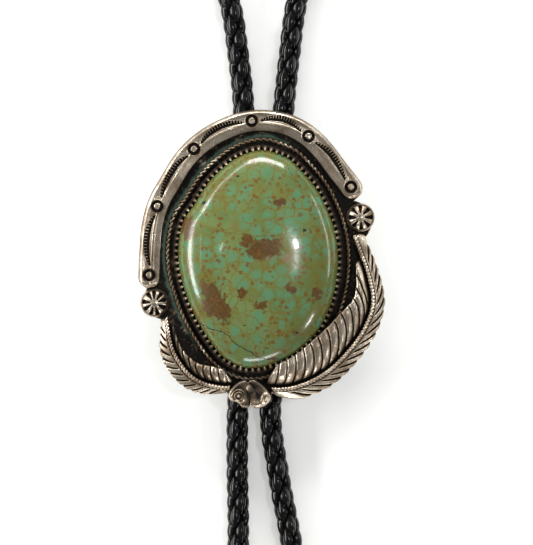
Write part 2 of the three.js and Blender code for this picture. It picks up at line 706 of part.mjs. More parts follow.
// The plain clip behind the plate, with a channel for each strand of the cord.
function clipSolid() {
  const half = CORD_SPACING / 2 + CHANNEL_RADIUS + CLIP_SIDE;
  const corner = CLIP_SIDE / 2;
  const outline = new THREE.Shape([
    [-half + corner, 0], [half - corner, 0], [half, corner], [half, CLIP_TOP - corner],
    [half - corner, CLIP_TOP], [-half + corner, CLIP_TOP], [-half, CLIP_TOP - corner],
    [-half, corner],
  ].map(([x, z]) => new THREE.Vector2(x, z)));
  for (const x of [-CORD_SPACING / 2, CORD_SPACING / 2]) {
    const channel = new THREE.Path();
    channel.absarc(x, CORD_INSIDE, CHANNEL_RADIUS, 0, 2 * Math.PI, true);
    outline.holes.push(channel);
  }
  const body = new THREE.ExtrudeGeometry(outline, {
    depth: CLIP_LENGTH, bevelEnabled: false, curveSegments: 10,
  });
  body.rotateX(Math.PI / 2).translate(CLIP_SHIFT, CLIP_LENGTH / 2, 0);
  return solidOf(body);
}

// The cord as a plain tube along its route.
function cordSolid() {
  const route = new THREE.CatmullRomCurve3(CORD_ROUTE.map((p) => new THREE.Vector3(...p)));
  const section = new THREE.Shape(circle([0, 0], CORD_DIAMETER / 2, 8));
  const tube = new THREE.ExtrudeGeometry(section, {
    steps: 84, bevelEnabled: false, extrudePath: route,
  });
  return solidOf(tube);
}

// A tapered metal tip, a small gap beyond the end of the cord.
function tipMesh(name, [x, y], turn, material) {
  const profile = [
    [0, -TIP_LENGTH], [0.6 * TIP_END_RADIUS, -TIP_LENGTH + 0.2],
    [TIP_END_RADIUS, -TIP_LENGTH + 1.2], [0.86 * TIP_MOUTH_RADIUS, -0.16 * TIP_LENGTH],
    [TIP_MOUTH_RADIUS, -0.1 * TIP_LENGTH], [TIP_MOUTH_RADIUS, 0], [0, 0],
  ].map(([r, along]) => new THREE.Vector2(r, along));
  const mesh = meshOf(name, solidOf(new THREE.LatheGeometry(profile, 16)), material);
  mesh.position.set(
    x + TIP_GAP * Math.sin(turn), y - TIP_GAP * Math.cos(turn), TIP_MOUTH_RADIUS);
  mesh.rotation.z = turn;
  return mesh;
}

function silver() {
  return new THREE.MeshStandardMaterial({ color: 0xb8ab98, roughness: 0.35, metalness: 1 });
}

const tie = new THREE.Group();
tie.add(
  meshOf('silver_slide', slideSolid(), silver()),
  meshOf('turquoise', stoneSolid(), new THREE.MeshStandardMaterial({
    color: 0x7a9a68, roughness: 0.2, metalness: 0,
  })),
  meshOf('cord_clip', clipSolid(), silver()),
  meshOf('cord', cordSolid(), new THREE.MeshStandardMaterial({
    color: 0x0c0c0d, roughness: 0.4, metalness: 0,
  })),
  tipMesh('tip_left', CORD_ROUTE.at(0), LEFT_TIP_TURN, silver()),
  tipMesh('tip_right', CORD_ROUTE.at(-1), RIGHT_TIP_TURN, silver()),
);

export default tie;
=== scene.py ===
"""A bolo tie: a silver slide with a green turquoise, face up on its braided leather cord.

Sizes are in millimetres and become metres where a mesh is made. +Z is up, +Y towards the neck, and
the slide is centred on the origin. A height is over the top of the backplate unless it says otherwise.
"""

import logging
from dataclasses import dataclass, field
from enum import Enum

import bpy
import numpy as np
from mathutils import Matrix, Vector

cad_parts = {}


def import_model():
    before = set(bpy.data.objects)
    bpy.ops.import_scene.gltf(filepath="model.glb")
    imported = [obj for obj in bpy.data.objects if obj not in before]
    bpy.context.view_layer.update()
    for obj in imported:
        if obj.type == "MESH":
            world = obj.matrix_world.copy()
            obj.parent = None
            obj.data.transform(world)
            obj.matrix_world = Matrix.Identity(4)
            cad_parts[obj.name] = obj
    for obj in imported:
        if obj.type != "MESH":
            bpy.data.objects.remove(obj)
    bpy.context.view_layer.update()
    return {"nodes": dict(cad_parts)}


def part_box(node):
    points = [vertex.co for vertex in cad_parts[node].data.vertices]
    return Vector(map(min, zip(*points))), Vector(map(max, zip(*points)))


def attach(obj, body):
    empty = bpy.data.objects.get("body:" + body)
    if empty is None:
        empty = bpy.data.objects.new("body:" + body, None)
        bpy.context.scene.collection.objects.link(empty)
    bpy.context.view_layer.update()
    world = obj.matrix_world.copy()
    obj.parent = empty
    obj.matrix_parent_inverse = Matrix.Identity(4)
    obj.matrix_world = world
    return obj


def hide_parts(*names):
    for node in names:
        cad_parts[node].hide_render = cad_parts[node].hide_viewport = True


LOG = logging.getLogger("bolo_tie")
MM = 0.001
TURN = 2 * np.pi
Array = np.ndarray
Colour = tuple[float, float, float]


class Slot(Enum):
    """Names of the material slots."""

    SILVER = "silver"
    STONE = "stone"
    CLIP = "clip"
    CORD = "cord"
    TIPS = "tips"


def ease(value: Array, low: float | Array, high: float | Array) -> Array:
    """0 below low and 1 above high, and 3t^2 - 2t^3 between them."""
    share = np.clip((value - low) / (high - low), 0, 1)
    return share * share * (3 - 2 * share)


def bell(distance: Array, width: float | Array) -> Array:
    """1 on a line, and exp(-(distance / width)^2) beside it."""
    return np.exp(-((distance / width) ** 2))


def shoulder(distance: Array, radius: float) -> Array:
    """A quarter circle: sqrt(1 - (1 - distance / radius)^2) up to the radius, then 1."""
    inside = np.clip(1 - distance / radius, 0, 1)
    return np.sqrt(1 - inside * inside)


def entries(share: Array, values: tuple[float, ...]) -> Array:
    """A value read from evenly spaced entries, at a share of their length."""
    return np.interp(share, np.linspace(0, 1, len(values)), values)


def unevenness(x: Array, y: Array, length: float, seed: int) -> Array:
    """The waviness of hand work, about -1 to 1: a mean of plane waves in seeded directions.

    Args:
        x: Places across.
        y: Places along, of the same shape.
        length: Length of the waves.
        seed: Seed of their directions and phases.

    Returns:
        The waviness at each place.
    """
    rng = np.random.default_rng(seed)
    total = np.zeros(np.broadcast(x, y).shape)
    for way, phase, stretch in rng.uniform((0, 0, 0.7), (TURN, TURN, 1.5), (8, 3)):
        along = (x * np.cos(way) + y * np.sin(way)) / (length * stretch)
        total += np.sin(TURN * along + phase)
    return total / 4


class Line:
    """A smooth line through points, read by shares of its length.

    Between two points it is the cubic of a centripetal spline: its knots are as far apart as the
    square root of the distance between the points.
    """

    def __init__(self, points: Array | list, closed: bool = False) -> None:
        """Works out the line as many short steps.

        Args:
            points: The points, in two or three coordinates.
            closed: Whether the last joins the first.
        """
        points = np.asarray(points, float)
        points = np.pad(points, ((0, 0), (0, 3 - points.shape[1])))
        if closed:
            spine = np.vstack([points[-1:], points, points[:2]])
        else:
            spine = np.vstack([2 * points[0] - points[1], points, 2 * points[-1] - points[-2]])
        knot = np.sqrt(np.linalg.norm(np.diff(spine, axis=0), axis=1))[:, None]
        before, here, after = knot[:-2], knot[1:-1], knot[2:]
        a, b, c, d = spine[:-3], spine[1:-2], spine[2:-1], spine[3:]
        start = ((b - a) / before - (c - a) / (before + here) + (c - b) / here) * here
        end = ((c - b) / here - (d - b) / (here + after) + (d - c) / after) * here
        t = np.linspace(0, 1, 80, endpoint=False)[None, :, None]
        square = 3 * (c - b) - 2 * start - end
        cube = 2 * (b - c) + start + end
        cubic = b[:, None] + start[:, None] * t + square[:, None] * t**2 + cube[:, None] * t**3
        self.steps = np.vstack([cubic.reshape(-1, 3), c[-1]])
        walked = np.cumsum(np.linalg.norm(np.diff(self.steps, axis=0), axis=1))
        self.length = float(walked[-1])
        self.walked = np.concatenate([[0.0], walked]) / self.length
        self.closed = closed

    def at(self, share: Array) -> Array:
        """The points at shares of the length."""
        share = np.mod(share, 1) if self.closed else np.clip(share, 0, 1)
        return np.stack([np.interp(share, self.walked, axis) for axis in self.steps.T], -1)

    def heading(self, share: Array) -> Array:
        """The unit directions at shares of the length."""
        near = self.at(np.asarray(share) - 0.001)
        way = self.at(np.asarray(share) + 0.001) - near
        return way / np.linalg.norm(way, axis=-1, keepdims=True)

    def beside(self, share: Array, reach: Array | float, height: Array | float) -> Array:
        """Points of line(share) + left * reach, at given heights."""
        share, reach, height = np.broadcast_arrays(share, reach, height)
        spot = self.at(share)
        way = self.heading(share)
        x = spot[..., 0] - way[..., 1] * reach
        y = spot[..., 1] + way[..., 0] * reach
        return np.stack([x, y, height], -1)

    def reach(self, points: Array) -> tuple[Array, Array]:
        """How far points lie to the left of the line.

        Args:
            points: Points, of any leading shape.

        Returns:
            The distances, and the shares of the length at the nearest places.
        """
        share = np.linspace(0, 1, 500, endpoint=False)
        spots = self.at(share)[:, :2]
        ways = self.heading(share)[:, :2]
        flat = points.reshape(-1, points.shape[-1])[:, :2]
        gaps = ((flat[:, None] - spots[None]) ** 2).sum(-1)
        near = gaps.argmin(1)
        away = flat - spots[near]
        side = ways[near, 0] * away[:, 1] - ways[near, 1] * away[:, 0]
        shape = points.shape[:-1]
        return side.reshape(shape), share[near].reshape(shape)


@dataclass
class Shell:
    """A closed skin through rings of points.

    Attributes:
        rings: Points, ring by ring, in millimetres.
        marks: Values of the points by attribute name, of the shape of the rings.
        loop: Whether the last ring joins the first. Otherwise a fan closes each end.
    """

    rings: Array
    marks: dict[str, Array | float] = field(default_factory=dict)
    loop: bool = False

    def skin(self) -> tuple[Array, Array, Array]:
        """The points, the four-sided faces and the fans, all facing outwards."""
        count, size = self.rings.shape[:2]
        points = self.rings.reshape(-1, 3)
        ring = np.arange(count if self.loop else count - 1)[:, None] * size
        along = np.arange(size)[None, :]
        low, high = ring + along, ring + (along + 1) % size
        total = count * size
        quads = np.stack([low, high, (high + size) % total, (low + size) % total], -1).reshape(-1, 4)
        fans = np.zeros((0, 3), int)
        if not self.loop:
            points = np.vstack([points, self.rings[0].mean(0), self.rings[-1].mean(0)])
            first = np.stack([(along + 1) % size, along, np.full_like(along, total)], -1)
            last = np.stack([along, (along + 1) % size, np.full_like(along, 1)], -1)
            last += (total - size, total - size, total)
            fans = np.concatenate([first, last]).reshape(-1, 3)
        a, b, c, d = (points[quads[:, k]] - points[0] for k in range(4))
        if ((a * np.cross(b, c)).sum() + (a * np.cross(c, d)).sum()) < 0:
            quads, fans = quads[:, ::-1], fans[:, ::-1]
        return points, quads, fans

    def values(self, name: str) -> Array:
        """The values of a mark at every point, 0 where the shell has none."""
        values = np.broadcast_to(self.marks.get(name, 0.0), self.rings.shape[:2])
        ends = [] if self.loop else [[values[0].mean(), values[-1].mean()]]
        return np.concatenate([values.ravel(), *ends])


def mesh_of(name: str, shells: list[Shell]) -> bpy.types.Object:
    """An object whose mesh is made of closed shells, at the origin and in metres.

    Args:
        name: Name of the object.
        shells: The shells.

    Returns:
        The object, linked to the scene.
    """
    points, quads, fans, base = [], [], [], 0
    for shell in shells:
        some, four, three = shell.skin()
        points.append(some)
        quads.append(four + base)
        fans.append(three + base)
        base += len(some)
    quads, fans = np.concatenate(quads), np.concatenate(fans)
    loops = np.concatenate([quads.ravel(), fans.ravel()]).astype(np.int32)
    starts = [4 * np.arange(len(quads)), quads.size + 3 * np.arange(len(fans))]
    starts = np.concatenate(starts).astype(np.int32)
    mesh = bpy.data.meshes.new(name)
    mesh.vertices.add(base)
    mesh.vertices.foreach_set("co", (np.vstack(points) * MM).astype(np.float32).ravel())
    mesh.loops.add(len(loops))
    mesh.loops.foreach_set("vertex_index", loops)
    mesh.polygons.add(len(starts))
    mesh.polygons.foreach_set("loop_start", starts)
    mesh.update(calc_edges=True)
    mesh.shade_smooth()
    for mark in sorted({mark for shell in shells for mark in shell.marks}):
        values = np.concatenate([shell.values(mark) for shell in shells])
        layer = mesh.attributes.new(mark, "FLOAT", "POINT")
        layer.data.foreach_set("value", values.astype(np.float32))
    thing = bpy.data.objects.new(name, mesh)
    bpy.context.scene.collection.objects.link(thing)
    return thing


def add_piece(
    name: str, shells: list[Shell], material: bpy.types.Material, node: str
) -> bpy.types.Object:
    """Makes a piece, puts it on the body and reports it.

    Args:
        name: Name of the piece.
        shells: Its closed shells.
        material: Its finish.
        node: The CAD node that the piece stands for.

    Returns:
        The piece.
    """
    thing = mesh_of(name, shells)
    thing.data.materials.append(material)
    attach(thing, "root")
    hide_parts(node)
    LOG.info("%s: %d faces", name, len(thing.data.polygons))
    return thing


def strip(
    line: Line, share: Array, reach: Array, top: Array, floor: float, marks: dict[str, Array]
) -> Shell:
    """A solid strip along a line: points line(share) + left * reach at the top heights, over a floor.

    Args:
        line: The line.
        share: Shares of its length, a column.
        reach: Distances to its left, one row for each share.
        top: Heights of the top above the ground, of the same shape.
        floor: Height of the underside.
        marks: Marks of the top. The underside is black: painted shade under the piece.

    Returns:
        The closed shell.
    """
    reach = np.concatenate([reach, reach[:, -1:], reach[:, :1]], 1)
    height = np.concatenate([top, np.full((len(top), 2), floor)], 1)
    # The underside's marks are 1, so it is black with painted shade.
    under = {name: np.pad(mark, ((0, 0), (0, 2)), constant_values=1.0) for name, mark in marks.items()}
    return Shell(line.beside(share, reach, height), under)


def cover(
    outline: Array, centre: Array, share: Array, top: Array, floor: float, marks: dict[str, Array]
) -> Shell:
    """A solid over an outline: points centre + (edge - centre) * share at the top heights.

    Args:
        outline: Points of the edge.
        centre: The middle.
        share: Shares of the way from the middle to the edge, from 1 down to nearly 0.
        top: Heights of the top above the ground, one row for each share.
        floor: Height of the underside.
        marks: Marks of the top. The underside is black: painted shade under the piece.

    Returns:
        The closed shell.
    """
    spots = spread(outline, centre, np.concatenate([[0.995], share]))
    height = np.concatenate([np.full((1, top.shape[1]), floor), top])
    rings = np.concatenate([spots, height[..., None]], -1)
    # The underside's marks are 1, so it is black with painted shade.
    under = {name: np.pad(mark, ((1, 0), (0, 0)), constant_values=1.0) for name, mark in marks.items()}
    return Shell(rings, under)


def spread(outline: Array, centre: Array, share: Array) -> Array:
    """Places of centre + (edge - centre) * share, one row for each share."""
    centre = np.asarray(centre)[:2]
    return centre + (outline[None, :, :2] - centre) * np.asarray(share)[:, None, None]


def circle(middle: Array, radius: float) -> Array:
    """Points of middle + radius * (cos a, sin a)."""
    angle = np.linspace(0, TURN, 180, endpoint=False)
    return middle + radius * np.stack([np.cos(angle), np.sin(angle)], -1)


def rounded(spine: Array, radius: float, sides: int, loop: bool = False) -> Array:
    """Round rings along a line: centre + radius * (cos a * side + sin a * up).

    Args:
        spine: Centres of the rings.
        radius: Radius of the rings.
        sides: Points in each.
        loop: Whether the line joins its own start.

    Returns:
        The rings of points.
    """
    if loop:
        way = np.roll(spine, -1, 0) - np.roll(spine, 1, 0)
    else:
        way = np.gradient(spine, axis=0)
    way /= np.linalg.norm(way, axis=1, keepdims=True)
    side = np.cross(way, (0.0, 0.0, 1.0))
    side /= np.linalg.norm(side, axis=1, keepdims=True)
    up = np.cross(side, way)
    angle = np.linspace(0, TURN, sides, endpoint=False)[None, :, None]
    round_it = np.cos(angle) * side[:, None] + np.sin(angle) * up[:, None]
    return spine[:, None] + radius * round_it


class Recipe:
    """A material in the making: its surface shader and the nodes that feed it."""

    def __init__(self, name: str, **settings: float) -> None:
        """Starts a material.

        Args:
            name: Name of the material.
            **settings: Constants of the shader's sockets, with _ for a space.
        """
        self.material = bpy.data.materials.new(name)
        self.material.use_nodes = True
        self.tree = self.material.node_tree
        self.shader = self.tree.nodes["Principled BSDF"]
        for socket, value in settings.items():
            self.shader.inputs[socket.replace("_", " ")].default_value = value
        self.place = self.add("ShaderNodeTexCoord").outputs["Object"]

    def add(self, kind: str, feeds: dict | None = None, **options: object) -> bpy.types.Node:
        """Adds a node.

        Args:
            kind: Type of the node.
            feeds: Values or sockets for its inputs, by name or number.
            **options: Its own properties.

        Returns:
            The node.
        """
        node = self.tree.nodes.new(kind)
        for option, value in options.items():
            setattr(node, option, value)
        for socket, value in (feeds or {}).items():
            self.feed(node.inputs[socket], value)
        return node

    def feed(self, socket: bpy.types.NodeSocket, value: object) -> None:
        """Links a socket to another, or sets its value."""
        if isinstance(value, bpy.types.NodeSocket):
            self.tree.links.new(value, socket)
        else:
            socket.default_value = value

    def surface(self, **feeds: object) -> None:
        """Feeds the shader's sockets, with _ for a space."""
        for socket, value in feeds.items():
            self.feed(self.shader.inputs[socket.replace("_", " ")], value)

    def noise(self, scale: float, detail: float = 3.0, place: object = None) -> bpy.types.NodeSocket:
        """Noise from 0 to 1 with so many waves to the metre."""
        feeds = {"Vector": place or self.place, "Scale": scale, "Detail": detail}
        return self.add("ShaderNodeTexNoise", feeds).outputs["Fac"]

    def mark(self, name: str) -> bpy.types.NodeSocket:
        """A mark of the mesh."""
        return self.add("ShaderNodeAttribute", attribute_name=name).outputs["Fac"]

    def maths(self, operation: str, *values: object, clamp: bool = False) -> bpy.types.NodeSocket:
        """The result of a sum on numbers or sockets."""
        feeds = dict(enumerate(values))
        node = self.add("ShaderNodeMath", feeds, operation=operation, use_clamp=clamp)
        return node.outputs[0]

    def total(self, *parts: tuple[object, float]) -> bpy.types.NodeSocket:
        """The sum of sockets times their weights."""
        result: object = 0.0
        for socket, weight in parts:
            result = self.maths("MULTIPLY_ADD", socket, weight, result)
        return result

    def step(self, value: object, low: float, high: float) -> bpy.types.NodeSocket:
        """0 below low and 1 above high, smooth between them. High may be the lower."""
        feeds = {"Value": value, "From Min": low, "From Max": high}
        node = self.add("ShaderNodeMapRange", feeds, interpolation_type="SMOOTHSTEP")
        return node.outputs["Result"]

    def blend(self, share: object, low: object, high: object) -> bpy.types.NodeSocket:
        """A colour between two."""
        low, high = ((*c, 1.0) if isinstance(c, tuple) else c for c in (low, high))
        node = self.add("ShaderNodeMix", {0: share, 6: low, 7: high}, data_type="RGBA")
        return node.outputs[2]

    def bump(self, height: object, distance: float, strength: float = 1.0) -> bpy.types.NodeSocket:
        """A bumpy normal from a height of 0 to 1 over a distance in metres."""
        feeds = {"Height": height, "Distance": distance, "Strength": strength}
        return self.add("ShaderNodeBump", feeds).outputs["Normal"]

    def shifted(self, amount: float, scale: float) -> bpy.types.NodeSocket:
        """Object coordinates pushed about by noise, by an amount in metres."""
        feeds = {"Vector": self.place, "Scale": scale, "Detail": 3.0}
        push = self.add("ShaderNodeTexNoise", feeds).outputs["Color"]
        push = self.add("ShaderNodeVectorMath", {0: push, 1: (0.5,) * 3}, operation="SUBTRACT")
        feeds = {0: push.outputs[0], 1: (2 * amount,) * 3, 2: self.place}
        return self.add("ShaderNodeVectorMath", feeds, operation="MULTIPLY_ADD").outputs[0]


@dataclass(frozen=True)
class TarnishedSilver:
    """Worn silver: bright where it is rubbed, brown where it is dull, and black in the hollows, gaps and
    undersides with oxide and painted shade.
    """

    name: str = "tarnished_silver"
    bright: Colour = (0.80, 0.685, 0.54)
    dull: Colour = (0.215, 0.148, 0.090)
    black: Colour = (0.017, 0.0135, 0.010)
    verdigris: Colour = (0.12, 0.20, 0.14)
    polish: float = 0.21
    tarnish: float = 0.58

    def material(self) -> bpy.types.Material:
        """The material. Marks: one is how deep the black is, which is oxide with painted shade in hollows,
        gaps and undersides; patina is how green.
        """
        make = Recipe(self.name)
        soot = make.mark("soot")
        cloud = make.noise(230.0, 5.0)
        grain = make.noise(1900.0, 4.0)
        scratch_feeds = {"Vector": make.place, "Scale": (900.0, 140.0, 400.0)}
        stretched = make.add("ShaderNodeMapping", scratch_feeds).outputs[0]
        scratch = make.noise(3.0, 6.0, stretched)
        worn = make.total((cloud, 1.1), (soot, 0.7), (scratch, 0.4), (grain, 0.25))
        dull = make.step(worn, 0.62, 1.15)
        # The black share: oxide together with painted shade in hollows, gaps and undersides.
        dark = make.step(make.total((soot, 1.0), (grain, 0.3), (cloud, 0.3)), 0.4, 0.95)
        share = make.maths("MULTIPLY", dull, 1.6 * self.tarnish, clamp=True)
        colour = make.blend(share, self.bright, self.dull)
        colour = make.blend(dark, colour, self.black)
        green = make.total((make.mark("patina"), 1.0), (make.noise(900.0, 5.0), 1.3))
        green = make.maths("MULTIPLY", make.step(green, 1.05, 1.75), 0.85)
        colour = make.blend(green, colour, self.verdigris)
        metal = make.total((dark, -0.3), (green, -0.9))
        rough = make.total((dull, 0.16), (dark, 0.25), (green, 0.3), (scratch, 0.12))
        height = make.total((grain, 0.6), (scratch, 0.9), (cloud, 1.5))
        make.surface(
            Base_Color=colour,
            Metallic=make.maths("ADD", metal, 1.0, clamp=True),
            Roughness=make.maths("ADD", rough, self.polish, clamp=True),
            Normal=make.bump(height, 0.00005),
        )
        return make.material


@dataclass(frozen=True)
class StonePatch:
    """A stain in the stone: an ellipse in millimetres, turned by degrees.

    Attributes:
        x: Place of its middle across.
        y: Place of its middle along.
        width: Half its width.
        height: Half its height.
        turn: Its turn to the left.
    """

    x: float
    y: float
    width: float
    height: float
    turn: float = 0.0

    def share(self, make: Recipe, place: bpy.types.NodeSocket, soft: float) -> bpy.types.NodeSocket:
        """1 in the stain and 0 outside it, over a soft edge.

        Args:
            make: The material in the making.
            place: Coordinates, in metres.
            soft: Softness of the edge, as a share of the stain.

        Returns:
            The share of the stain.
        """
        feeds = {
            "Vector": place,
            "Location": (self.x * MM, self.y * MM, 0.0),
            "Rotation": (0.0, 0.0, float(np.radians(self.turn))),
            "Scale": (self.width * MM, self.height * MM, 1.0),
        }
        own = make.add("ShaderNodeMapping", feeds, vector_type="TEXTURE").outputs[0]
        flat = make.add("ShaderNodeVectorMath", {0: own, 1: (1.0, 1.0, 0.0)}, operation="MULTIPLY")
        far = make.add("ShaderNodeVectorMath", {0: flat.outputs[0]}, operation="LENGTH")
        return make.step(far.outputs["Value"], 1 + soft, 1 - soft)


@dataclass(frozen=True)
class GreenTurquoise:
    """Polished green turquoise: blue-green cells, an olive web, brown stains, specks and cracks."""

    name: str = "green_turquoise"
    green: Colour = (0.125, 0.180, 0.050)
    pale: Colour = (0.175, 0.240, 0.080)
    blue: Colour = (0.110, 0.262, 0.130)
    olive: Colour = (0.180, 0.140, 0.022)
    brown: Colour = (0.085, 0.033, 0.005)
    rust: Colour = (0.175, 0.062, 0.004)
    pink: Colour = (0.27, 0.17, 0.11)
    dark: Colour = (0.02, 0.015, 0.01)
    stains: tuple[StonePatch, ...] = (
        StonePatch(0.7, 2.1, 4.2, 2.4, 12.0),
        StonePatch(-3.2, 3.8, 2.0, 1.3, 30.0),
        StonePatch(-15.6, 6.6, 1.4, 2.8, -8.0),
        StonePatch(-9.6, -9.0, 2.2, 5.2, 32.0),
        StonePatch(-9.9, -10.8, 2.4, 1.8, 0.0),
        StonePatch(-4.4, -7.2, 1.3, 1.0, 0.0),
        StonePatch(0.2, -9.6, 1.5, 0.9, 20.0),
        StonePatch(6.2, -6.2, 1.3, 1.0, -20.0),
        StonePatch(3.8, 12.0, 1.5, 1.1, 0.0),
        StonePatch(11.6, -7.6, 1.0, 1.6, 20.0),
    )
    reds: tuple[StonePatch, ...] = (
        StonePatch(5.4, 0.2, 1.3, 1.0, 20.0),
        StonePatch(1.6, 0.6, 1.2, 0.7, -20.0),
    )
    blues: tuple[StonePatch, ...] = (
        StonePatch(12.0, 3.0, 2.2, 3.0, 15.0),
        StonePatch(3.0, 8.0, 4.4, 3.4, 0.0),
        StonePatch(-8.0, 12.5, 3.0, 3.0, 30.0),
        StonePatch(-2.0, -6.5, 4.4, 3.0, -10.0),
        StonePatch(6.0, -9.0, 3.4, 3.0, 30.0),
        StonePatch(-11.5, 0.5, 2.4, 3.6, 0.0),
    )
    specks: tuple[StonePatch, ...] = (
        StonePatch(-12.0, 11.9, 0.55, 0.4, 30.0),
        StonePatch(-5.0, 17.6, 0.3, 0.3, 0.0),
        StonePatch(9.0, 6.0, 0.35, 0.25, 0.0),
        StonePatch(-3.6, -14.0, 0.3, 0.2, 0.0),
        StonePatch(7.6, -15.4, 0.35, 0.3, 0.0),
    )

    long_crack: tuple[tuple[float, float], ...] = (
        (0.10, 0.235), (0.22, 0.16), (0.30, 0.135), (0.36, 0.08), (0.44, 0.035), (0.50, 0.0), (0.60, 0.0),
    )
    faint_crack: tuple[tuple[float, float], ...] = (
        (0.20, 0.68), (0.36, 0.66), (0.52, 0.645), (0.66, 0.67), (0.74, 0.70),
    )

    def gather(
        self, make: Recipe, patches: tuple[StonePatch, ...], place: bpy.types.NodeSocket, soft: float
    ) -> bpy.types.NodeSocket:
        """The share of the strongest of several patches."""
        result: object = 0.0
        for patch in patches:
            result = make.maths("MAXIMUM", result, patch.share(make, place, soft))
        return result

    def crack(self, make: Recipe, points: tuple, width: float) -> bpy.types.NodeSocket:
        """A hairline crack across the stone: 1 where a place is within the width of a curve y(x).

        Args:
            make: The material in the making.
            points: Points of the curve, in shares of 40 mm, from the corner at -20, -21 mm.
            width: Half its width, as such a share.

        Returns:
            The share of the crack.
        """
        place = make.shifted(0.0004, 900.0)
        feeds = {"Vector": place, "Location": (0.5, 0.525, 0.0), "Scale": (25.0,) * 3}
        own = make.add("ShaderNodeMapping", feeds).outputs[0]
        axes = make.add("ShaderNodeSeparateXYZ", {0: own})
        curve = make.add("ShaderNodeFloatCurve", {"Value": axes.outputs["X"]})
        handles = curve.mapping.curves[0].points
        for handle, spot in zip(handles, (points[0], points[-1])):
            handle.location = spot
        for spot in points[1:-1]:
            handles.new(*spot)
        curve.mapping.update()
        off = make.maths("ABSOLUTE", make.maths("SUBTRACT", axes.outputs["Y"], curve.outputs[0]))
        start = make.step(axes.outputs["X"], points[0][0] - 0.01, points[0][0] + 0.03)
        end = make.step(axes.outputs["X"], points[-1][0] + 0.01, points[-1][0] - 0.03)
        ends = make.maths("MULTIPLY", start, end)
        return make.maths("MULTIPLY", make.step(off, width, 0.3 * width), ends)

    def material(self) -> bpy.types.Material:
        """The material."""
        make = Recipe(self.name, Coat_Weight=0.3, Coat_Roughness=0.03)
        loose = make.shifted(0.0008, 600.0)
        wavy = make.shifted(0.0009, 800.0)
        web = {"Vector": loose, "Scale": 390.0, "Randomness": 0.9}
        cells = make.add("ShaderNodeTexVoronoi", web)
        tone = make.add("ShaderNodeSeparateColor", {0: cells.outputs["Color"]}).outputs[0]
        edge = make.add("ShaderNodeTexVoronoi", web, feature="DISTANCE_TO_EDGE").outputs["Distance"]
        cloud = make.noise(110.0, 4.0)
        fine = make.noise(1300.0, 5.0)
        patchy = make.noise(150.0, 3.0)
        ground = make.blend(make.step(cloud, 0.36, 0.62), self.green, self.pale)
        olive = make.maths("MULTIPLY", make.step(patchy, 0.42, 0.66), 0.7)
        ground = make.blend(olive, ground, self.olive)
        blues = self.gather(make, self.blues, loose, 0.6)
        round_cell = make.step(cells.outputs["Distance"], 0.70, 0.32)
        share = make.total((tone, 0.75), (blues, 0.55), (patchy, -0.9), (make.noise(60.0), 0.6))
        inner = make.maths("MULTIPLY", round_cell, make.step(share, -0.10, 0.62))
        body = make.blend(inner, ground, self.blue)
        body = make.blend(make.maths("MULTIPLY", make.step(fine, 0.55, 0.75), 0.25), body, self.pale)
        veined = make.maths("MULTIPLY", make.step(edge, 0.08, 0.0), make.step(make.noise(240.0), 0.32, 0.52))
        body = make.blend(make.maths("MULTIPLY", veined, 0.8), body, self.olive)
        dots = make.add("ShaderNodeTexVoronoi", {"Vector": wavy, "Scale": 820.0})
        chosen = make.add("ShaderNodeSeparateColor", {0: dots.outputs["Color"]}).outputs[1]
        chosen = make.step(make.total((chosen, 1.0), (make.noise(90.0), 1.6)), 1.18, 1.38)
        rusty = make.maths("MULTIPLY", make.step(dots.outputs["Distance"], 0.48, 0.22), chosen)
        body = make.blend(make.maths("MULTIPLY", rusty, 0.85), body, self.rust)
        reds = self.gather(make, self.reds, wavy, 0.4)
        body = make.blend(make.maths("MULTIPLY", reds, 0.7), body, self.pink)
        stains = self.gather(make, self.stains, make.shifted(0.0018, 900.0), 0.5)
        ragged = make.step(make.total((stains, 1.0), (make.noise(1000.0, 6.0), 1.3)), 1.12, 1.42)
        grains = make.add("ShaderNodeTexVoronoi", {"Vector": wavy, "Scale": 2100.0})
        crumbs = make.blend(make.step(grains.outputs["Distance"], 0.15, 0.6), self.rust, self.brown)
        body = make.blend(ragged, body, crumbs)
        grit = make.step(make.noise(1150.0, 3.0), 0.70, 0.76)
        specks = self.gather(make, self.specks, wavy, 0.3)
        body = make.blend(make.maths("MAXIMUM", specks, make.maths("MULTIPLY", grit, 0.65)), body, self.dark)
        body = make.blend(make.maths("MULTIPLY", fine, 0.2), body, self.green)
        crack = self.crack(make, self.long_crack, 0.0045)
        faint = self.crack(make, self.faint_crack, 0.0025)
        body = make.blend(make.maths("MULTIPLY", faint, 0.5), body, self.brown)
        body = make.blend(make.maths("MULTIPLY", crack, 0.9), body, self.dark)
        height = make.total((veined, -0.07), (crack, -1.2), (fine, 0.06), (make.noise(160.0), 0.9))
        rough = make.total((ragged, 0.14), (rusty, 0.06), (fine, 0.06))
        make.surface(
            Base_Color=body,
            Roughness=make.maths("ADD", rough, 0.14),
            Normal=make.bump(height, 0.00005),
        )
        return make.material


@dataclass(frozen=True)
class BlackLeather:
    """Glossy black braided leather with a fine grain and brown where it is rubbed."""

    name: str = "black_leather"
    black: Colour = (0.0014, 0.0014, 0.0015)
    rubbed: Colour = (0.0034, 0.0031, 0.0028)

    def material(self) -> bpy.types.Material:
        """The material. Mark: edge is 1 between two leaves, where nothing shines."""
        make = Recipe(self.name)
        grain = make.noise(2600.0, 4.0)
        cloud = make.noise(300.0, 4.0)
        edge = make.mark("edge")
        worn = make.step(make.total((cloud, 1.0), (edge, 0.25), (grain, 0.3)), 0.55, 1.1)
        make.surface(
            Base_Color=make.blend(worn, self.black, self.rubbed),
            Specular_IOR_Level=make.maths("MULTIPLY", make.step(edge, 0.88, 0.42), 0.48),
            Roughness=make.maths("ADD", make.total((worn, 0.08), (grain, 0.04)), 0.17),
            Normal=make.bump(cloud, 0.00002),
        )
        return make.material


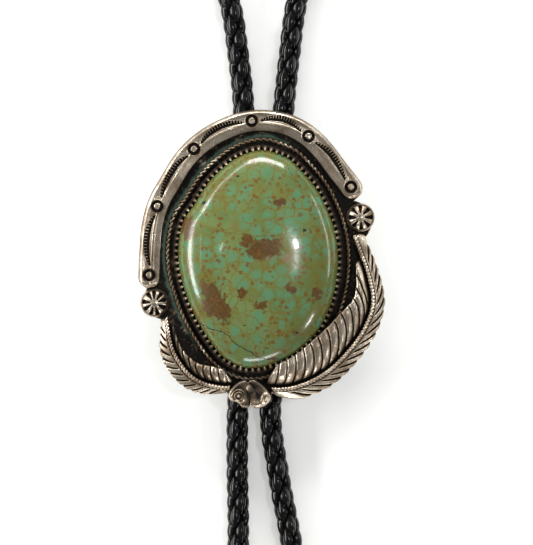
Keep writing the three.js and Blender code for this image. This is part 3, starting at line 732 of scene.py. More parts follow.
@dataclass(frozen=True)
class WhiteFloor:
    """The plain pale floor, which glows a little to lighten the shadows on it."""

    name: str = "pale_floor"
    white: Colour = (0.93, 0.925, 0.905)

    def material(self) -> bpy.types.Material:
        """The material."""
        # The floor glows: painted light that lifts the shadows on it.
        make = Recipe(self.name, Roughness=0.7, Specular_IOR_Level=0.2, Emission_Strength=0.34)
        make.surface(Emission_Color=(1.0, 0.985, 0.955, 1.0))
        shade = tuple(0.985 * c for c in self.white)
        make.surface(Base_Color=make.blend(make.noise(25.0), self.white, shade))
        return make.material


@dataclass
class Studio:
    """The camera over the slide, the floor and the lights, in metres."""

    middle: tuple[float, float] = (0.00106, -0.00287)
    level: float = 0.010
    distance: float = 0.70
    view_width: float = 0.1132
    floor_size: float = 1.6

    def build(self) -> None:
        """Makes the camera, the floor and the lights."""
        self.camera()
        half = self.floor_size / 2
        corners = [(-half, -half, 0.0), (half, -half, 0.0), (half, half, 0.0), (-half, half, 0.0)]
        mesh = bpy.data.meshes.new("floor")
        mesh.from_pydata(corners, [], [(0, 1, 2, 3)])
        floor = bpy.data.objects.new("floor", mesh)
        bpy.context.scene.collection.objects.link(floor)
        mesh.materials.append(WhiteFloor().material())
        self.light("left_softbox", (-0.55, 0.06, 0.28), (0.56, 0.10), 2.7)
        self.light("upper_left_softbox", (-0.34, 0.44, 0.29), (0.40, 0.04), 0.5)
        self.light("near_softbox", (0.225, 0.05, 0.58), (0.055, 0.035), 0.45, (0.90, 0.95, 1.0))
        self.light("warm_window", (-0.215, 0.06, 0.58), (0.08, 0.012), 0.05, (1.0, 0.93, 0.72))
        self.light("cool_window", (-0.40, 0.03, 0.44), (0.22, 0.010), 0.05, (0.80, 0.93, 1.0))
        self.light("right_softbox", (0.60, 0.14, 0.22), (0.50, 0.05), 0.55)
        self.light("lower_right_softbox", (0.44, -0.32, 0.32), (0.10, 0.03), 0.3)
        self.light("top_softbox", (0.04, 0.58, 0.28), (0.50, 0.12), 3.2)
        self.light("front_softbox", (0.05, -0.58, 0.24), (0.35, 0.08), 0.9)
        world = bpy.data.worlds.new("pale_room")
        bpy.context.scene.world = world
        world.use_nodes = True
        background = world.node_tree.nodes["Background"]
        background.inputs["Color"].default_value = (0.96, 0.97, 1.0, 1.0)
        background.inputs["Strength"].default_value = 0.17
        bpy.context.scene.view_settings.view_transform = "Standard"

    def camera(self) -> None:
        """The camera, straight above and far enough away for a flat view."""
        lens = bpy.data.cameras.new("camera")
        lens.sensor_fit = "HORIZONTAL"
        lens.sensor_width = 36.0
        lens.lens = 36.0 * self.distance / self.view_width
        camera = bpy.data.objects.new("camera", lens)
        camera.location = (*self.middle, self.level + self.distance)
        bpy.context.scene.collection.objects.link(camera)
        bpy.context.scene.camera = camera

    def light(
        self,
        name: str,
        place: tuple[float, float, float],
        size: tuple[float, float],
        power: float,
        colour: Colour = (1.0, 1.0, 1.0),
    ) -> None:
        """A softbox that faces the slide.

        Args:
            name: Its name.
            place: Where it stands.
            size: Its width and height.
            power: Its power in watts.
            colour: Its colour.
        """
        box = bpy.data.lights.new(name, "AREA")
        box.shape = "RECTANGLE"
        box.size, box.size_y = size
        box.energy = power
        box.color = colour
        thing = bpy.data.objects.new(name, box)
        thing.location = place
        away = Vector(place) - Vector((*self.middle, self.level))
        thing.rotation_euler = away.to_track_quat("Z", "Y").to_euler()
        bpy.context.scene.collection.objects.link(thing)


@dataclass
class BraidedCord:
    """The plaited leather cord, from tip to tip, and the two metal tips."""

    diameter: float = 5.0
    inside: float = 3.5
    floor: float = 2.52
    valley: float = 1.86
    weave_depth: float = 0.64
    lean: float = 0.06
    cells: int = 4
    steps: int = 9
    repeat: float = 6.2
    tip_length: float = 46.0
    mouth_radius: float = 2.9
    end_radius: float = 1.7
    tip_gap: float = 0.3
    tip_turns: tuple[float, float] = (0.0, 0.18)

    def route(self) -> Line:
        """The route of the CAD cord: through the clip, round the neck and back, in millimetres."""
        f, c = self.floor, self.inside
        return Line([
            (-5.0, -63.0, 2.85), (-5.0, -55.0, f), (-5.2, -45.0, f), (-5.1, -32.0, 2.9),
            (-4.3, -20.0, c), (-4.3, -7.0, c), (-4.3, 7.0, c), (-4.3, 20.0, c), (-3.8, 31.0, 3.0),
            (-4.9, 43.0, f), (-7.3, 57.0, f), (-13.5, 71.0, f), (-20.0, 84.0, f), (-22.9, 100.0, f),
            (-23.2, 130.0, f), (-23.2, 160.0, f), (-23.2, 193.5, f), (-20.3, 200.5, f),
            (-13.3, 203.4, f), (-6.3, 200.5, f), (-3.4, 193.5, f), (-6.5, 177.0, f),
            (-9.5, 160.0, f), (-10.0, 135.0, f), (-10.0, 110.0, f), (-10.0, 91.0, f),
            (-8.7, 86.0, f), (-5.0, 82.4, f), (0.0, 81.0, f), (5.0, 82.4, f), (8.7, 86.0, f),
            (10.0, 91.0, f), (10.0, 110.0, f), (10.0, 135.0, f), (9.5, 160.0, f), (6.5, 177.0, f),
            (3.4, 193.5, f), (6.3, 200.5, f),
            (13.3, 203.4, f), (20.3, 200.5, f), (23.2, 193.5, f), (23.2, 160.0, f),
            (23.2, 130.0, f), (22.9, 100.0, f), (20.0, 84.0, f), (13.8, 71.0, f), (8.0, 57.0, f),
            (5.9, 43.0, f), (4.6, 31.0, 3.0), (3.4, 20.0, c), (3.4, 7.0, c), (3.4, -7.0, c),
            (3.4, -20.0, c), (1.9, -33.0, 2.9), (3.6, -46.0, f), (5.7, -57.0, f), (6.8, -63.0, 2.85),
        ])

    def plait(self, line: Line) -> Shell:
        """The plaited skin: flat leaves in two crossing families of windings.

        p is the share of a leaf that angle * cells / 2 pi + s / repeat has passed, and q the same
        with - s / repeat. The radius is valley + depth * leaf, where leaf is
        (sin(pi p) sin(pi q))^0.7, and lean * leaf * (p - q) tips every other leaf the other way.
        The grid winds along q = constant, so that the edges of the leaves run through its points.

        Args:
            line: Middle line of the cord.

        Returns:
            The closed shell.
        """
        ring = np.arange(round(line.length / self.repeat * 2 * self.steps) + 1)[:, None]
        turn = np.arange(self.steps * self.cells)[None, :] + 0.5 * ring
        s = ring * line.length / ring[-1]
        angle = turn * TURN / (self.steps * self.cells)
        left, right = (turn + 0.5 * ring) / self.steps, (turn - 0.5 * ring) / self.steps + 0.5
        left, right = left + 1e-9, right + 1e-9
        p, q = np.mod(left, 1), np.mod(right, 1)
        leaf = (np.sin(np.pi * p) * np.sin(np.pi * q)) ** 0.7
        way = 1 - 2 * np.mod(np.floor(left) + np.floor(right), 2)
        full = self.valley + self.weave_depth * leaf + self.lean * leaf * way * (p - q)
        full = np.minimum(full, self.diameter / 2 - 0.01)
        share = s / line.length
        forward = line.heading(share)
        side = np.cross(forward, (0.0, 0.0, 1.0))
        side /= np.linalg.norm(side, axis=-1, keepdims=True)
        up = np.cross(side, forward)
        outward = np.cos(angle)[..., None] * side + np.sin(angle)[..., None] * up
        return Shell(line.at(share) + full[..., None] * outward, {"edge": 1 - leaf})

    def build(self, leather: bpy.types.Material, silver: bpy.types.Material) -> None:
        """Makes the cord and its tips.

        Args:
            leather: Finish of the cord.
            silver: Finish of the tips.
        """
        line = self.route()
        cord = add_piece("braided_cord", [self.plait(line)], leather, "cord")
        path = line.at(np.linspace(0, 1, 400)) * MM
        tips = [
            self.tip("left_tip", "tip_left", line.at(0.0), self.tip_turns[0], silver),
            self.tip("right_tip", "tip_right", line.at(1.0), self.tip_turns[1], silver),
        ]
        LOG.info("cord: %.1f mm long", line.length)

    def tip(
        self, name: str, node: str, end: Array, turn: float, silver: bpy.types.Material
    ) -> bpy.types.Object:
        """A plain tapered tip with a cupped mouth: a profile turned about the line of the cord's end.

        Args:
            name: Name of the piece.
            node: The CAD node that it stands for.
            end: The end of the cord.
            turn: Turn of the tip to the left, in radians.
            silver: Its finish.

        Returns:
            The piece.
        """
        wall = self.mouth_radius - 0.12
        profile = [
            (0.05, 0.5), (wall - 0.35, 0.5), (wall - 0.3, 0.1), (wall - 0.1, 0.0), (wall + 0.08, 0.02),
            (self.mouth_radius, 0.25), (self.mouth_radius, 0.85), (wall, 1.05), (wall, 1.3),
            (self.mouth_radius, 1.5), (self.mouth_radius, 4.6), (0.86 * self.mouth_radius, 7.4),
        ]
        taper = np.linspace(0, 1, 24)[1:]
        last = self.tip_length - 1.2
        shaft = [(
            float(0.86 * self.mouth_radius + t * (self.end_radius - 0.86 * self.mouth_radius)),
            float(7.4 + t * (last - 7.4)),
        ) for t in taper]
        quarter = np.linspace(0, np.pi / 2, 9)[1:]
        nose = [(float(self.end_radius * np.cos(q)), float(last + 1.2 * np.sin(q))) for q in quarter]
        nose[-1] = (0.03, self.tip_length)
        shape = np.array(profile + shaft + nose)
        angle = np.linspace(0, TURN, 56, endpoint=False)[None, :]
        down = np.array([np.sin(turn), -np.cos(turn), 0.0])
        side = np.array([np.cos(turn), np.sin(turn), 0.0])
        start = np.array([*(end[:2] + self.tip_gap * down[:2]), self.mouth_radius])
        radius, along = shape[:, :1], shape[:, 1:]
        rings = start + along[..., None] * down + (radius * np.cos(angle))[..., None] * side
        rings[..., 2] += radius * np.sin(angle)
        # Black in the groove round the mouth and inside the cup: oxide and painted shade.
        groove = 0.75 * (bell(along - 1.18, 0.16) + (along < 0.5) * (radius < wall))
        soot = np.broadcast_to(groove, rings.shape[:2])
        return add_piece(name, [Shell(rings, {"soot": soot})], silver, node)


@dataclass
class SlideSizes:
    """The sizes that the parts of the slide share, as in the CAD, and the edge of the stone.

    Attributes:
        sink: How far the pieces reach down into the plate, and how far the flower ends above its back.
        outline: Points of the stone's edge, as shares of its half width and half height.
    """

    stone_width: float = 34.2
    stone_height: float = 46.5
    stone_shift: float = -0.75
    seat_gap: float = 0.3
    bezel_reach: float = 1.0
    wire_reach: float = 2.2
    rim_reach: float = 2.65
    side_margin: float = 6.7
    end_margin: float = 5.95
    plate_thickness: float = 1.0
    sink: float = 0.2
    outline: tuple[tuple[float, float], ...] = (
        (0.05, 1.0), (0.28, 0.955), (0.41, 0.905), (0.57, 0.79), (0.735, 0.64), (0.865, 0.455),
        (0.965, 0.24), (1.0, 0.0), (0.975, -0.22), (0.89, -0.455), (0.75, -0.655), (0.53, -0.825),
        (0.28, -0.935), (-0.02, -1.0), (-0.235, -0.985), (-0.455, -0.885), (-0.655, -0.695),
        (-0.8, -0.505), (-0.895, -0.33), (-0.98, -0.1), (-0.995, 0.1), (-0.935, 0.34), (-0.795, 0.5),
        (-0.63, 0.69), (-0.455, 0.825), (-0.225, 0.945),
    )

    def __post_init__(self) -> None:
        """Works out the levels, the reaches and the edge of the stone."""
        self.plate_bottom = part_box("silver_slide")[0].z / MM
        self.top = self.plate_bottom + self.plate_thickness
        self.root = self.top - self.sink
        self.stone_bottom = self.top + self.seat_gap
        self.half = np.array([
            self.stone_width / 2 + self.rim_reach + self.side_margin,
            self.stone_height / 2 + self.rim_reach + self.end_margin,
        ])
        scale = np.array([self.stone_width / 2, self.stone_height / 2])
        self.edge = Line(np.array(self.outline) * scale + (self.stone_shift, 0.0), closed=True)

    def place(self, shares: Array | list | tuple) -> Array:
        """Places from shares of the half width and half height of the slide."""
        return np.asarray(shares, float) * self.half


@dataclass
class Turquoise:
    """The domed stone."""

    slide: SlideSizes
    edge_height: float = 1.5
    dome: float = 6.3

    def build(self, stone: bpy.types.Material) -> None:
        """Makes the stone: its edge drawn in by cos(a)^0.9 while it rises by sin(a) of the dome.

        Args:
            stone: Its finish.
        """
        base = self.slide.stone_bottom
        angle = np.linspace(0, np.pi / 2 - 0.012, 100)[:, None]
        outline = self.slide.edge.at(np.linspace(0, 1, 320, endpoint=False))
        share = np.cos(angle[:, 0]) ** 0.9
        spots = spread(outline, (self.slide.stone_shift, 0.0), share)
        wave = unevenness(spots[..., 0], spots[..., 1], 11.0, 5)
        top = base + self.edge_height + self.dome * np.sin(angle) + 0.07 * wave * np.sin(angle)
        top = np.minimum(top, base + self.edge_height + self.dome)
        shell = cover(outline, (self.slide.stone_shift, 0.0), share, top, base, {})
        add_piece("turquoise_stone", [shell], stone, "turquoise")


@dataclass
class StampedBar:
    """The domed crescent bar with rings and dots and comb-edged crescents stamped in it."""

    slide: SlideSizes
    width: float = 4.6
    ring_inner: float = 0.70
    ring_outer: float = 1.33
    depth: float = 0.48
    strokes: int = 18
    rings: tuple[float, ...] = (0.036, 0.232, 0.425, 0.609, 0.779, 0.966)
    across: tuple[float, ...] = (0.0, 0.03, 0.09, 0.28, 0.37, 0.41, 0.46, 0.7, 0.84, 0.9, 0.96, 1.0)
    profile: tuple[float, ...] = (1.2, 1.62, 1.72, 2.12, 2.24, 2.44, 2.32, 2.26, 2.46, 2.3, 1.75, 1.1)
    middle: tuple[tuple[float, float], ...] = (
        (-0.905, -0.193), (-0.894, 0.06), (-0.875, 0.227), (-0.826, 0.373), (-0.737, 0.507),
        (-0.605, 0.678), (-0.442, 0.8), (-0.229, 0.889), (-0.063, 0.922), (0.132, 0.912),
        (0.271, 0.874), (0.388, 0.811), (0.499, 0.719), (0.615, 0.591), (0.701, 0.5), (0.773, 0.413),
    )

    def line(self) -> Line:
        """Its middle line, from the lower left end."""
        return Line(self.slide.place(self.middle))

    def outline(self, inwards: float) -> Array:
        """The outline of the bar, carried further inwards."""
        line = self.line()
        share = np.linspace(0.002, 0.998, 300)
        half = self.width / 2 * shoulder(np.minimum(share, 1 - share) * line.length, self.width / 2)
        outer = line.beside(share, 0.98 * half, 0.0)
        inner = line.beside(share[::-1], -(half[::-1] + inwards), 0.0)
        return np.vstack([outer, inner])

    def crescents(self, share: Array, f: Array, length: float) -> Array:
        """How deep the crescents lie at places along and across the bar, from 0 to 1."""
        deep = np.zeros(np.broadcast(share, f).shape)
        clear = (self.ring_outer + 0.28) / length
        for start, end in zip(self.rings, self.rings[1:]):
            t = (share - start - clear) / (end - start - 2 * clear)
            bulge = np.sin(np.pi * np.clip(t, 0, 1))
            low = 0.43 + 0.11 * bulge
            high = 0.46 + 0.37 * bulge**0.7
            band = ease(f, low - 0.012, low + 0.02) * (1 - ease(f, high - 0.03, high + 0.012))
            part = (f - low) / (high - low + 1e-6)
            comb = 0.5 + 0.5 * np.cos(TURN * self.strokes * t)
            stroke = 1 - 0.9 * ease(part, 0.32, 0.5) * (1 - comb**0.8)
            deep = np.maximum(deep, band * stroke * ease(bulge, 0.02, 0.2))
        return deep

    def build(self, silver: bpy.types.Material) -> None:
        """Makes the bar: a strip whose height is its profile less the stamps.

        Args:
            silver: Its finish.
        """
        line = self.line()
        share = np.linspace(0.0006, 0.9994, 1150)[:, None]
        f = np.linspace(0, 1, 72)[None, :]
        end = np.minimum(share, 1 - share) * line.length
        half = self.width / 2 * shoulder(end, self.width / 2)
        reach = half * (2 * f - 1)
        spots = line.beside(share, reach, 0.0)
        gaps = [np.linalg.norm(spots - line.at(ring), axis=-1) for ring in self.rings]
        gap = np.min(gaps, axis=0)
        ring = ease(gap, self.ring_inner - 0.1, self.ring_inner + 0.06)
        ring *= 1 - ease(gap, self.ring_outer - 0.1, self.ring_outer + 0.04)
        dot = np.sqrt(np.clip(1 - (gap / (self.ring_inner + 0.04)) ** 2, 0, 1))
        cut = self.crescents(share, f, line.length) * ease(gap, self.ring_outer + 0.1, self.ring_outer + 0.3)
        wave = unevenness(spots[..., 0], spots[..., 1], 5.0, 3)
        top = np.interp(f, self.across, self.profile) * (0.55 + 0.45 * shoulder(end, 1.3))
        top = top + 0.04 * wave + 0.08 * bell(gap - self.ring_outer - 0.1, 0.09)
        inside = gap < self.ring_inner
        top = np.where(inside, top - 0.12 + 0.22 * dot, top)
        top = top - self.depth * np.maximum(ring * ~inside, cut)
        # Black in the stamped rings and crescents with oxide and painted shade, and painted shade along the
        # bar's edges where it meets the plate and in a halo round each ring.
        low = 1 - ease(np.minimum(f, 1 - f), 0.0, 0.07)
        soot = np.maximum(np.maximum(ring, cut), 0.55 * low * np.ones_like(cut))
        soot = soot + 0.25 * bell(gap - self.ring_outer, 0.25) * (gap > self.ring_outer)
        shell = strip(line, share, reach, self.slide.top + top, self.slide.root, {"soot": soot})
        add_piece("stamped_bar", [shell], silver, "silver_slide")


@dataclass
class FlutedButton:
    """A domed button with wedge grooves that spread from a dot in its middle."""

    slide: SlideSizes
    name: str
    at: tuple[float, float]
    grooves: int
    turn: float
    seed: int
    radius: float = 3.05
    height: float = 2.7
    base_share: float = 0.9
    base_radius: float = 4.5

    def outline(self, scale: float = 1.0) -> Array:
        """Its round outline."""
        return circle(self.slide.place(self.at), scale * self.radius)

    def base(self) -> Array:
        """A disc of plate nearer the middle of the slide, which fills the corner beside the button."""
        return circle(self.base_share * self.slide.place(self.at), self.base_radius)

    def build(self, silver: bpy.types.Material) -> None:
        """Makes the button: a dome less its grooves, each a wedge in angle that narrows to the middle.

        Args:
            silver: Its finish.
        """
        share = np.linspace(1, 0.02, 60)
        outline = self.outline()
        count = len(outline)
        angle = np.linspace(0, TURN, count, endpoint=False)[None, :]
        r = self.radius * share[:, None]
        rng = np.random.default_rng(self.seed)
        step = TURN / self.grooves
        turned = angle - self.turn + 0.05 * np.sin(angle * 2 + self.seed)
        nearest = np.round(turned / step)
        jitter = rng.uniform(-0.06, 0.06, self.grooves)[nearest.astype(int) % self.grooves]
        off = np.abs(turned - nearest * step - jitter) * r
        width = 0.12 + 0.22 * np.clip(r - 0.8, 0, 2)
        groove = (1 - ease(off, 0.55 * width, 1.15 * width)) * ease(r, 0.75, 1.1)
        groove *= 1 - ease(r, 2.35, 2.6)
        dome = 1.15 + (self.height - 1.15) * np.sqrt(np.clip(1 - (r / 2.9) ** 2, 0, 1)) ** 1.15
        rim = np.where(r > 2.6, 1.35 * shoulder(self.radius - r, 0.35), 0.0)
        top = np.maximum(dome * (r < 2.95), rim) + 0 * angle
        top = top - 0.62 * groove * ease(2.9 - r, 0.0, 0.4) + 0.09 * bell(r, 0.45)
        petal = 0.08 * np.cos(np.pi * np.clip(off / (0.5 * step * r + 1e-6), 0, 1)) * ease(r, 0.6, 1.4)
        top = top - petal * (1 - ease(r, 2.4, 2.7))
        # Black in the grooves and inside the rim with oxide and painted shade, and painted shade round the
        # foot where the button meets the plate.
        soot = np.maximum(groove, 0.7 * bell(r - 2.66, 0.1) + 0 * angle)
        soot = np.maximum(soot, 0.6 * (share[:, None] > 0.985) + 0 * angle)
        middle = self.slide.place(self.at)
        shell = cover(outline, middle, share, self.slide.top + top, self.slide.root, {"soot": soot})
        add_piece(self.name, [shell], silver, "silver_slide")


@dataclass
class Feather:
    """A feather: a high inner vane with curved grooves, a twisted rib and a slashed outer vane."""

    slide: SlideSizes
    name: str
    rib: tuple[tuple[float, float], ...]
    outside: int
    vane_start: float
    inner_width: float
    inner_shares: tuple[float, ...]
    inner_height: float
    inner_grooves: int
    outer_width: float
    outer_shares: tuple[float, ...]
    outer_grooves: int
    rib_width: float = 1.1
    rib_height: float = 2.3
    rib_end: float = 0.97
    section: tuple[float, ...] = (0.3, 0.58, 0.76, 0.88, 0.95, 1.0, 1.0, 0.96)

    def __post_init__(self) -> None:
        """Works out the line of the rib."""
        self.line = Line(self.slide.place(self.rib))

    def outer_reach(self, share: Array) -> Array:
        """How far the outer vane reaches from the rib's line at shares of its length."""
        width = self.outer_width * entries(share, self.outer_shares)
        return self.rib_width / 2 + width

    def outline(self) -> Array:
        """The outline of the web under the feather."""
        share = np.linspace(0, self.rib_end, 200)
        far = self.line.beside(share, self.outside * (self.outer_reach(share / self.rib_end) - 0.22), 0.0)
        near = self.line.beside(share[::-1], -self.outside * 0.85 * self.slide.side_margin, 0.0)
        return np.vstack([far, near])

    def inner_vane(self) -> Shell:
        """The inner vane: its grooves follow share = s + 0.2 (1 - s^2) (1 - f)^1.5 across it."""
        share = np.linspace(0.002, 0.998, 420)[:, None]
        f = np.linspace(0, 1, 56)[None, :]
        run = (1 - self.vane_start) * self.line.length
        width = self.inner_width * entries(share, self.inner_shares)
        width = width * shoulder((1 - share) * run, 1.8) * shoulder(share * run, 0.6)
        reach = -self.outside * (self.rib_width / 2 + 0.1 + (width + 0.2) * f)
        cut = np.zeros((420, 56))
        soft = np.zeros((420, 56))
        for number in range(self.inner_grooves):
            s = 0.07 + 0.86 * number / (self.inner_grooves - 1)
            lean = 0.2 * (1 - s * s)
            curve = s + lean * (1 - f) ** 1.5
            slope = run * 1.5 * lean * np.sqrt(1 - f) / np.maximum(width, 0.5)
            off = np.abs(share - curve) * run / np.sqrt(1 + slope**2)
            cut = np.maximum(cut, bell(off, 0.13))
            soft = np.maximum(soft, bell(off, 0.42))
        height = self.inner_height * entries(f, self.section)
        height = height * (0.45 + 0.55 * shoulder(np.minimum(share, 1 - share) * run, 1.0))
        edge = np.minimum(f, 1 - f) * width
        spots = self.line.beside(self.vane_start + (1 - self.vane_start) * share, reach, 0.0)
        wave = unevenness(spots[..., 0], spots[..., 1], 4.0, 11)
        fade = ease(1 - f, 0.0, 0.06)
        top = height - 0.36 * cut * fade - 0.2 * soft * fade + 0.03 * wave
        top = top - 0.3 * (1 - shoulder((1 - f) * width, 0.3)) - 0.5 * (1 - shoulder(f * width, 0.35))
        # Black in the grooves with oxide and painted shade, painted shade in the crease beside the rib, and
        # a little along the edges.
        soot = np.maximum(0.95 * cut * fade, 0.75 * (1 - ease(f * width, 0.1, 0.7)))
        soot = np.maximum(soot, 0.25 * (1 - ease(edge, 0.0, 0.1)))
        share = self.vane_start + (1 - self.vane_start) * share
        marks = {"soot": soot}
        shell = strip(self.line, share, reach, self.slide.top + top, self.slide.root, marks)
        gap, near = self.slide.edge.reach(shell.rings)
        short = gap < self.slide.seat_gap + 0.02
        moved = self.slide.edge.beside(near, self.slide.seat_gap + 0.02, shell.rings[..., 2])
        shell.rings = np.where(short[..., None], moved, shell.rings)
        return shell

    def outer_vane(self) -> Shell:
        """The outer vane: a low slope whose slanting cuts run out through its edge."""
        share = np.linspace(0.002, 0.998, 560)[:, None]
        f = np.linspace(0, 1, 26)[None, :]
        run = self.rib_end * self.line.length
        far = self.outer_reach(share)
        cut = np.zeros((560, 26))
        for number in range(self.outer_grooves):
            s = 0.06 + 0.82 * number / self.outer_grooves
            curve = s + 0.1 * (1 - f)
            slope = 0.1 * run / np.maximum(far - 0.4, 0.4)
            off = np.abs(share - curve) * run / np.sqrt(1 + slope**2)
            cut = np.maximum(cut, bell(off, 0.12 + 0.07 * f))
        ends = shoulder(np.minimum(share, 1 - share) * run, 1.2)
        far = self.rib_width / 2 + (far - self.rib_width / 2) * ends
        near = 0.4 * self.rib_width
        notch = 0.3 * cut * ease(f, 0.6, 1.0)
        reach = self.outside * (near + (far - near) * f - notch)
        top = 1.95 - 0.95 * f**1.3 - 0.62 * cut * ease(f, 0.12, 0.3)
        top = top * (0.6 + 0.4 * ends) - 0.25 * (1 - shoulder((1 - f) * far, 0.25))
        # Black in the cuts with oxide and painted shade, and painted shade in the crease beside the rib.
        soot = np.maximum(0.9 * cut * ease(f, 0.1, 0.25), 0.6 * (1 - ease(f, 0.0, 0.16)))
        shares = self.rib_end * share
        return strip(self.line, shares, reach, self.slide.top + top, self.slide.root, {"soot": soot})

    def twisted_rib(self) -> list[Shell]:
        """The rib: a flat bed and two strands twisted on it, angle = 2 pi s / pitch."""
        share = np.linspace(0.004, self.rib_end, 1200)
        run = share * self.line.length
        shells = []
        for number in range(2):
            angle = TURN * run / 1.45 + np.pi * number
            lift = self.slide.top + self.rib_height - 0.5 + 0.2 * np.sin(angle)
            spine = self.line.beside(share, 0.2 * np.cos(angle), lift)
            rings = rounded(spine, 0.28, 8)
            # The lower side of each strand darker: painted shade between the strands.
            soot = 0.6 * (1 - ease(np.sin(angle), -0.5, 0.6))[:, None]
            shells.append(Shell(rings, {"soot": np.broadcast_to(soot, rings.shape[:2])}))
        share = share[::6, None]
        f = np.linspace(-1, 1, 7)[None, :]
        bed = self.slide.top + self.rib_height - 0.75 - 0.25 * f**4 + 0 * share
        # The bed fully black: painted shade under the strands.
        soot = np.ones_like(bed)
        reach = self.rib_width / 2 * f + 0 * share
        shells.append(strip(self.line, share, reach, bed, self.slide.root, {"soot": soot}))
        return shells

    def build(self, silver: bpy.types.Material) -> None:
        """Makes the three parts of the feather.

        Args:
            silver: Its finish.
        """
        add_piece(f"{self.name}_inner_vane", [self.inner_vane()], silver, "silver_slide")
        add_piece(f"{self.name}_outer_vane", [self.outer_vane()], silver, "silver_slide")
        add_piece(f"{self.name}_rib", self.twisted_rib(), silver, "silver_slide")


@dataclass
class FlowerButton:
    """The stamped flower at the foot: a raised rim, a curl, an oval petal, lobes and a knob."""

    slide: SlideSizes
    at: tuple[float, float] = (-0.1, -0.9)
    width: float = 9.4
    height: float = 6.3
    rise: float = 2.5
    base_shift: float = 0.1
    base_radius: float = 5.5
    shape: tuple[tuple[float, float], ...] = (
        (-0.05, 0.8), (0.05, 0.97), (0.3, 0.95), (0.58, 0.66), (0.86, 0.22), (1.0, -0.28),
        (0.8, -0.72), (0.5, -0.95), (0.25, -0.93), (0.08, -0.72), (-0.06, -0.93), (-0.3, -0.92),
        (-0.5, -0.6), (-0.85, -0.42), (-0.96, 0.0), (-0.7, 0.55), (-0.42, 0.85), (-0.15, 0.97),
    )

    def outline(self, scale: float = 1.0) -> Array:
        """Its lobed outline."""
        corners = np.array(self.shape) * (scale * self.width / 2, scale * self.height / 2)
        line = Line(corners + self.slide.place(self.at), closed=True)
        return line.at(np.linspace(0, 1, 300, endpoint=False))

    def base(self) -> Array:
        """A disc of plate behind the flower, nearer the middle of the slide."""
        middle = self.slide.place((self.at[0], self.at[1] + self.base_shift))
        return circle(middle, self.base_radius)

    def relief(self, x: Array, y: Array, share: Array) -> tuple[Array, Array]:
        """The stamped relief at places from the middle.

        Args:
            x: Places across, in millimetres.
            y: Places along.
            share: Shares of the way out to the edge.

        Returns:
            Heights over the face, and how black each place is: oxide and painted shade in the low places and
            the cuts.
        """
        rim = bell(share - 0.9, 0.065)
        curl = np.hypot(x + 2.2, y + 0.5)
        curl_turn = np.arctan2(y + 0.5, x + 2.2)
        open_side = ease(np.abs(curl_turn), 0.5, 0.9)
        arcs = (bell(curl - 1.42, 0.13) + bell(curl - 0.86, 0.12)) * open_side + bell(curl, 0.3)
        petal_x = (x - 3.25) * 0.94 - (y + 0.85) * 0.34
        petal_y = (x - 3.25) * 0.34 + (y + 0.85) * 0.94
        petal = np.hypot(petal_x / 0.62, petal_y / 0.95)
        oval = bell(petal - 1.0, 0.22) + 0.35 * (petal < 1)
        lobes = bell(np.hypot(x + 0.95, y + 1.75), 0.75) + bell(np.hypot(x - 1.55, y + 1.85), 0.85)
        knob = np.sqrt(np.clip(1 - (np.hypot(x - 0.25, y - 1.15) / 0.9) ** 2, 0, 1))
        slit = bell((x - 0.75) * 0.69 + (y - 1.75) * 0.72, 0.13) * bell(np.hypot(x - 0.75, y - 1.75), 1.2)
        stem = bell((x - 1.75) * 0.9 + (y + 0.1) * 0.45, 0.14) * bell(np.hypot(x - 1.75, y + 0.1), 0.9)
        notch = bell((x + 0.25) * 0.97 + (y + 0.2) * 0.2, 0.12) * bell(np.hypot(x + 0.25, y + 0.2), 0.8)
        parts = bell(x - 0.3 - 0.1 * y, 0.15) * ease(-y, 0.7, 1.2)
        raised = 0.42 * rim + 0.24 * arcs + 0.26 * oval + 0.26 * lobes + 0.34 * knob
        cuts = np.clip(slit + stem + notch + parts, 0, 1)
        # Black in the low places between the raised parts and in the cuts: oxide and painted shade.
        black = np.clip(0.52 - 1.1 * rim - 0.6 * arcs - 0.6 * oval - 0.35 * lobes - 0.2 * knob, 0, 1)
        return raised - 0.4 * cuts, np.maximum(black, cuts)

    def build(self, silver: bpy.types.Material) -> None:
        """Makes the flower.

        Args:
            silver: Its finish.
        """
        middle = self.slide.place(self.at)
        outline = self.outline()
        share = np.linspace(1, 0.012, 96)
        spots = spread(outline, middle, share) - middle
        raised, black = self.relief(spots[..., 0], spots[..., 1], share[:, None])
        wave = unevenness(spots[..., 0], spots[..., 1], 2.2, 8)
        top = self.rise - 0.5 + raised + 0.05 * wave
        top = top - 0.5 * (1 - shoulder(1 - share[:, None], 0.05))
        top = np.minimum(top, self.rise + 0.05)
        soot = black + 0.15 * wave
        base = self.slide.plate_bottom + self.slide.sink
        shell = cover(outline, middle, share, self.slide.top + top, base, {"soot": soot})
        add_piece("flower_button", [shell], silver, "silver_slide")


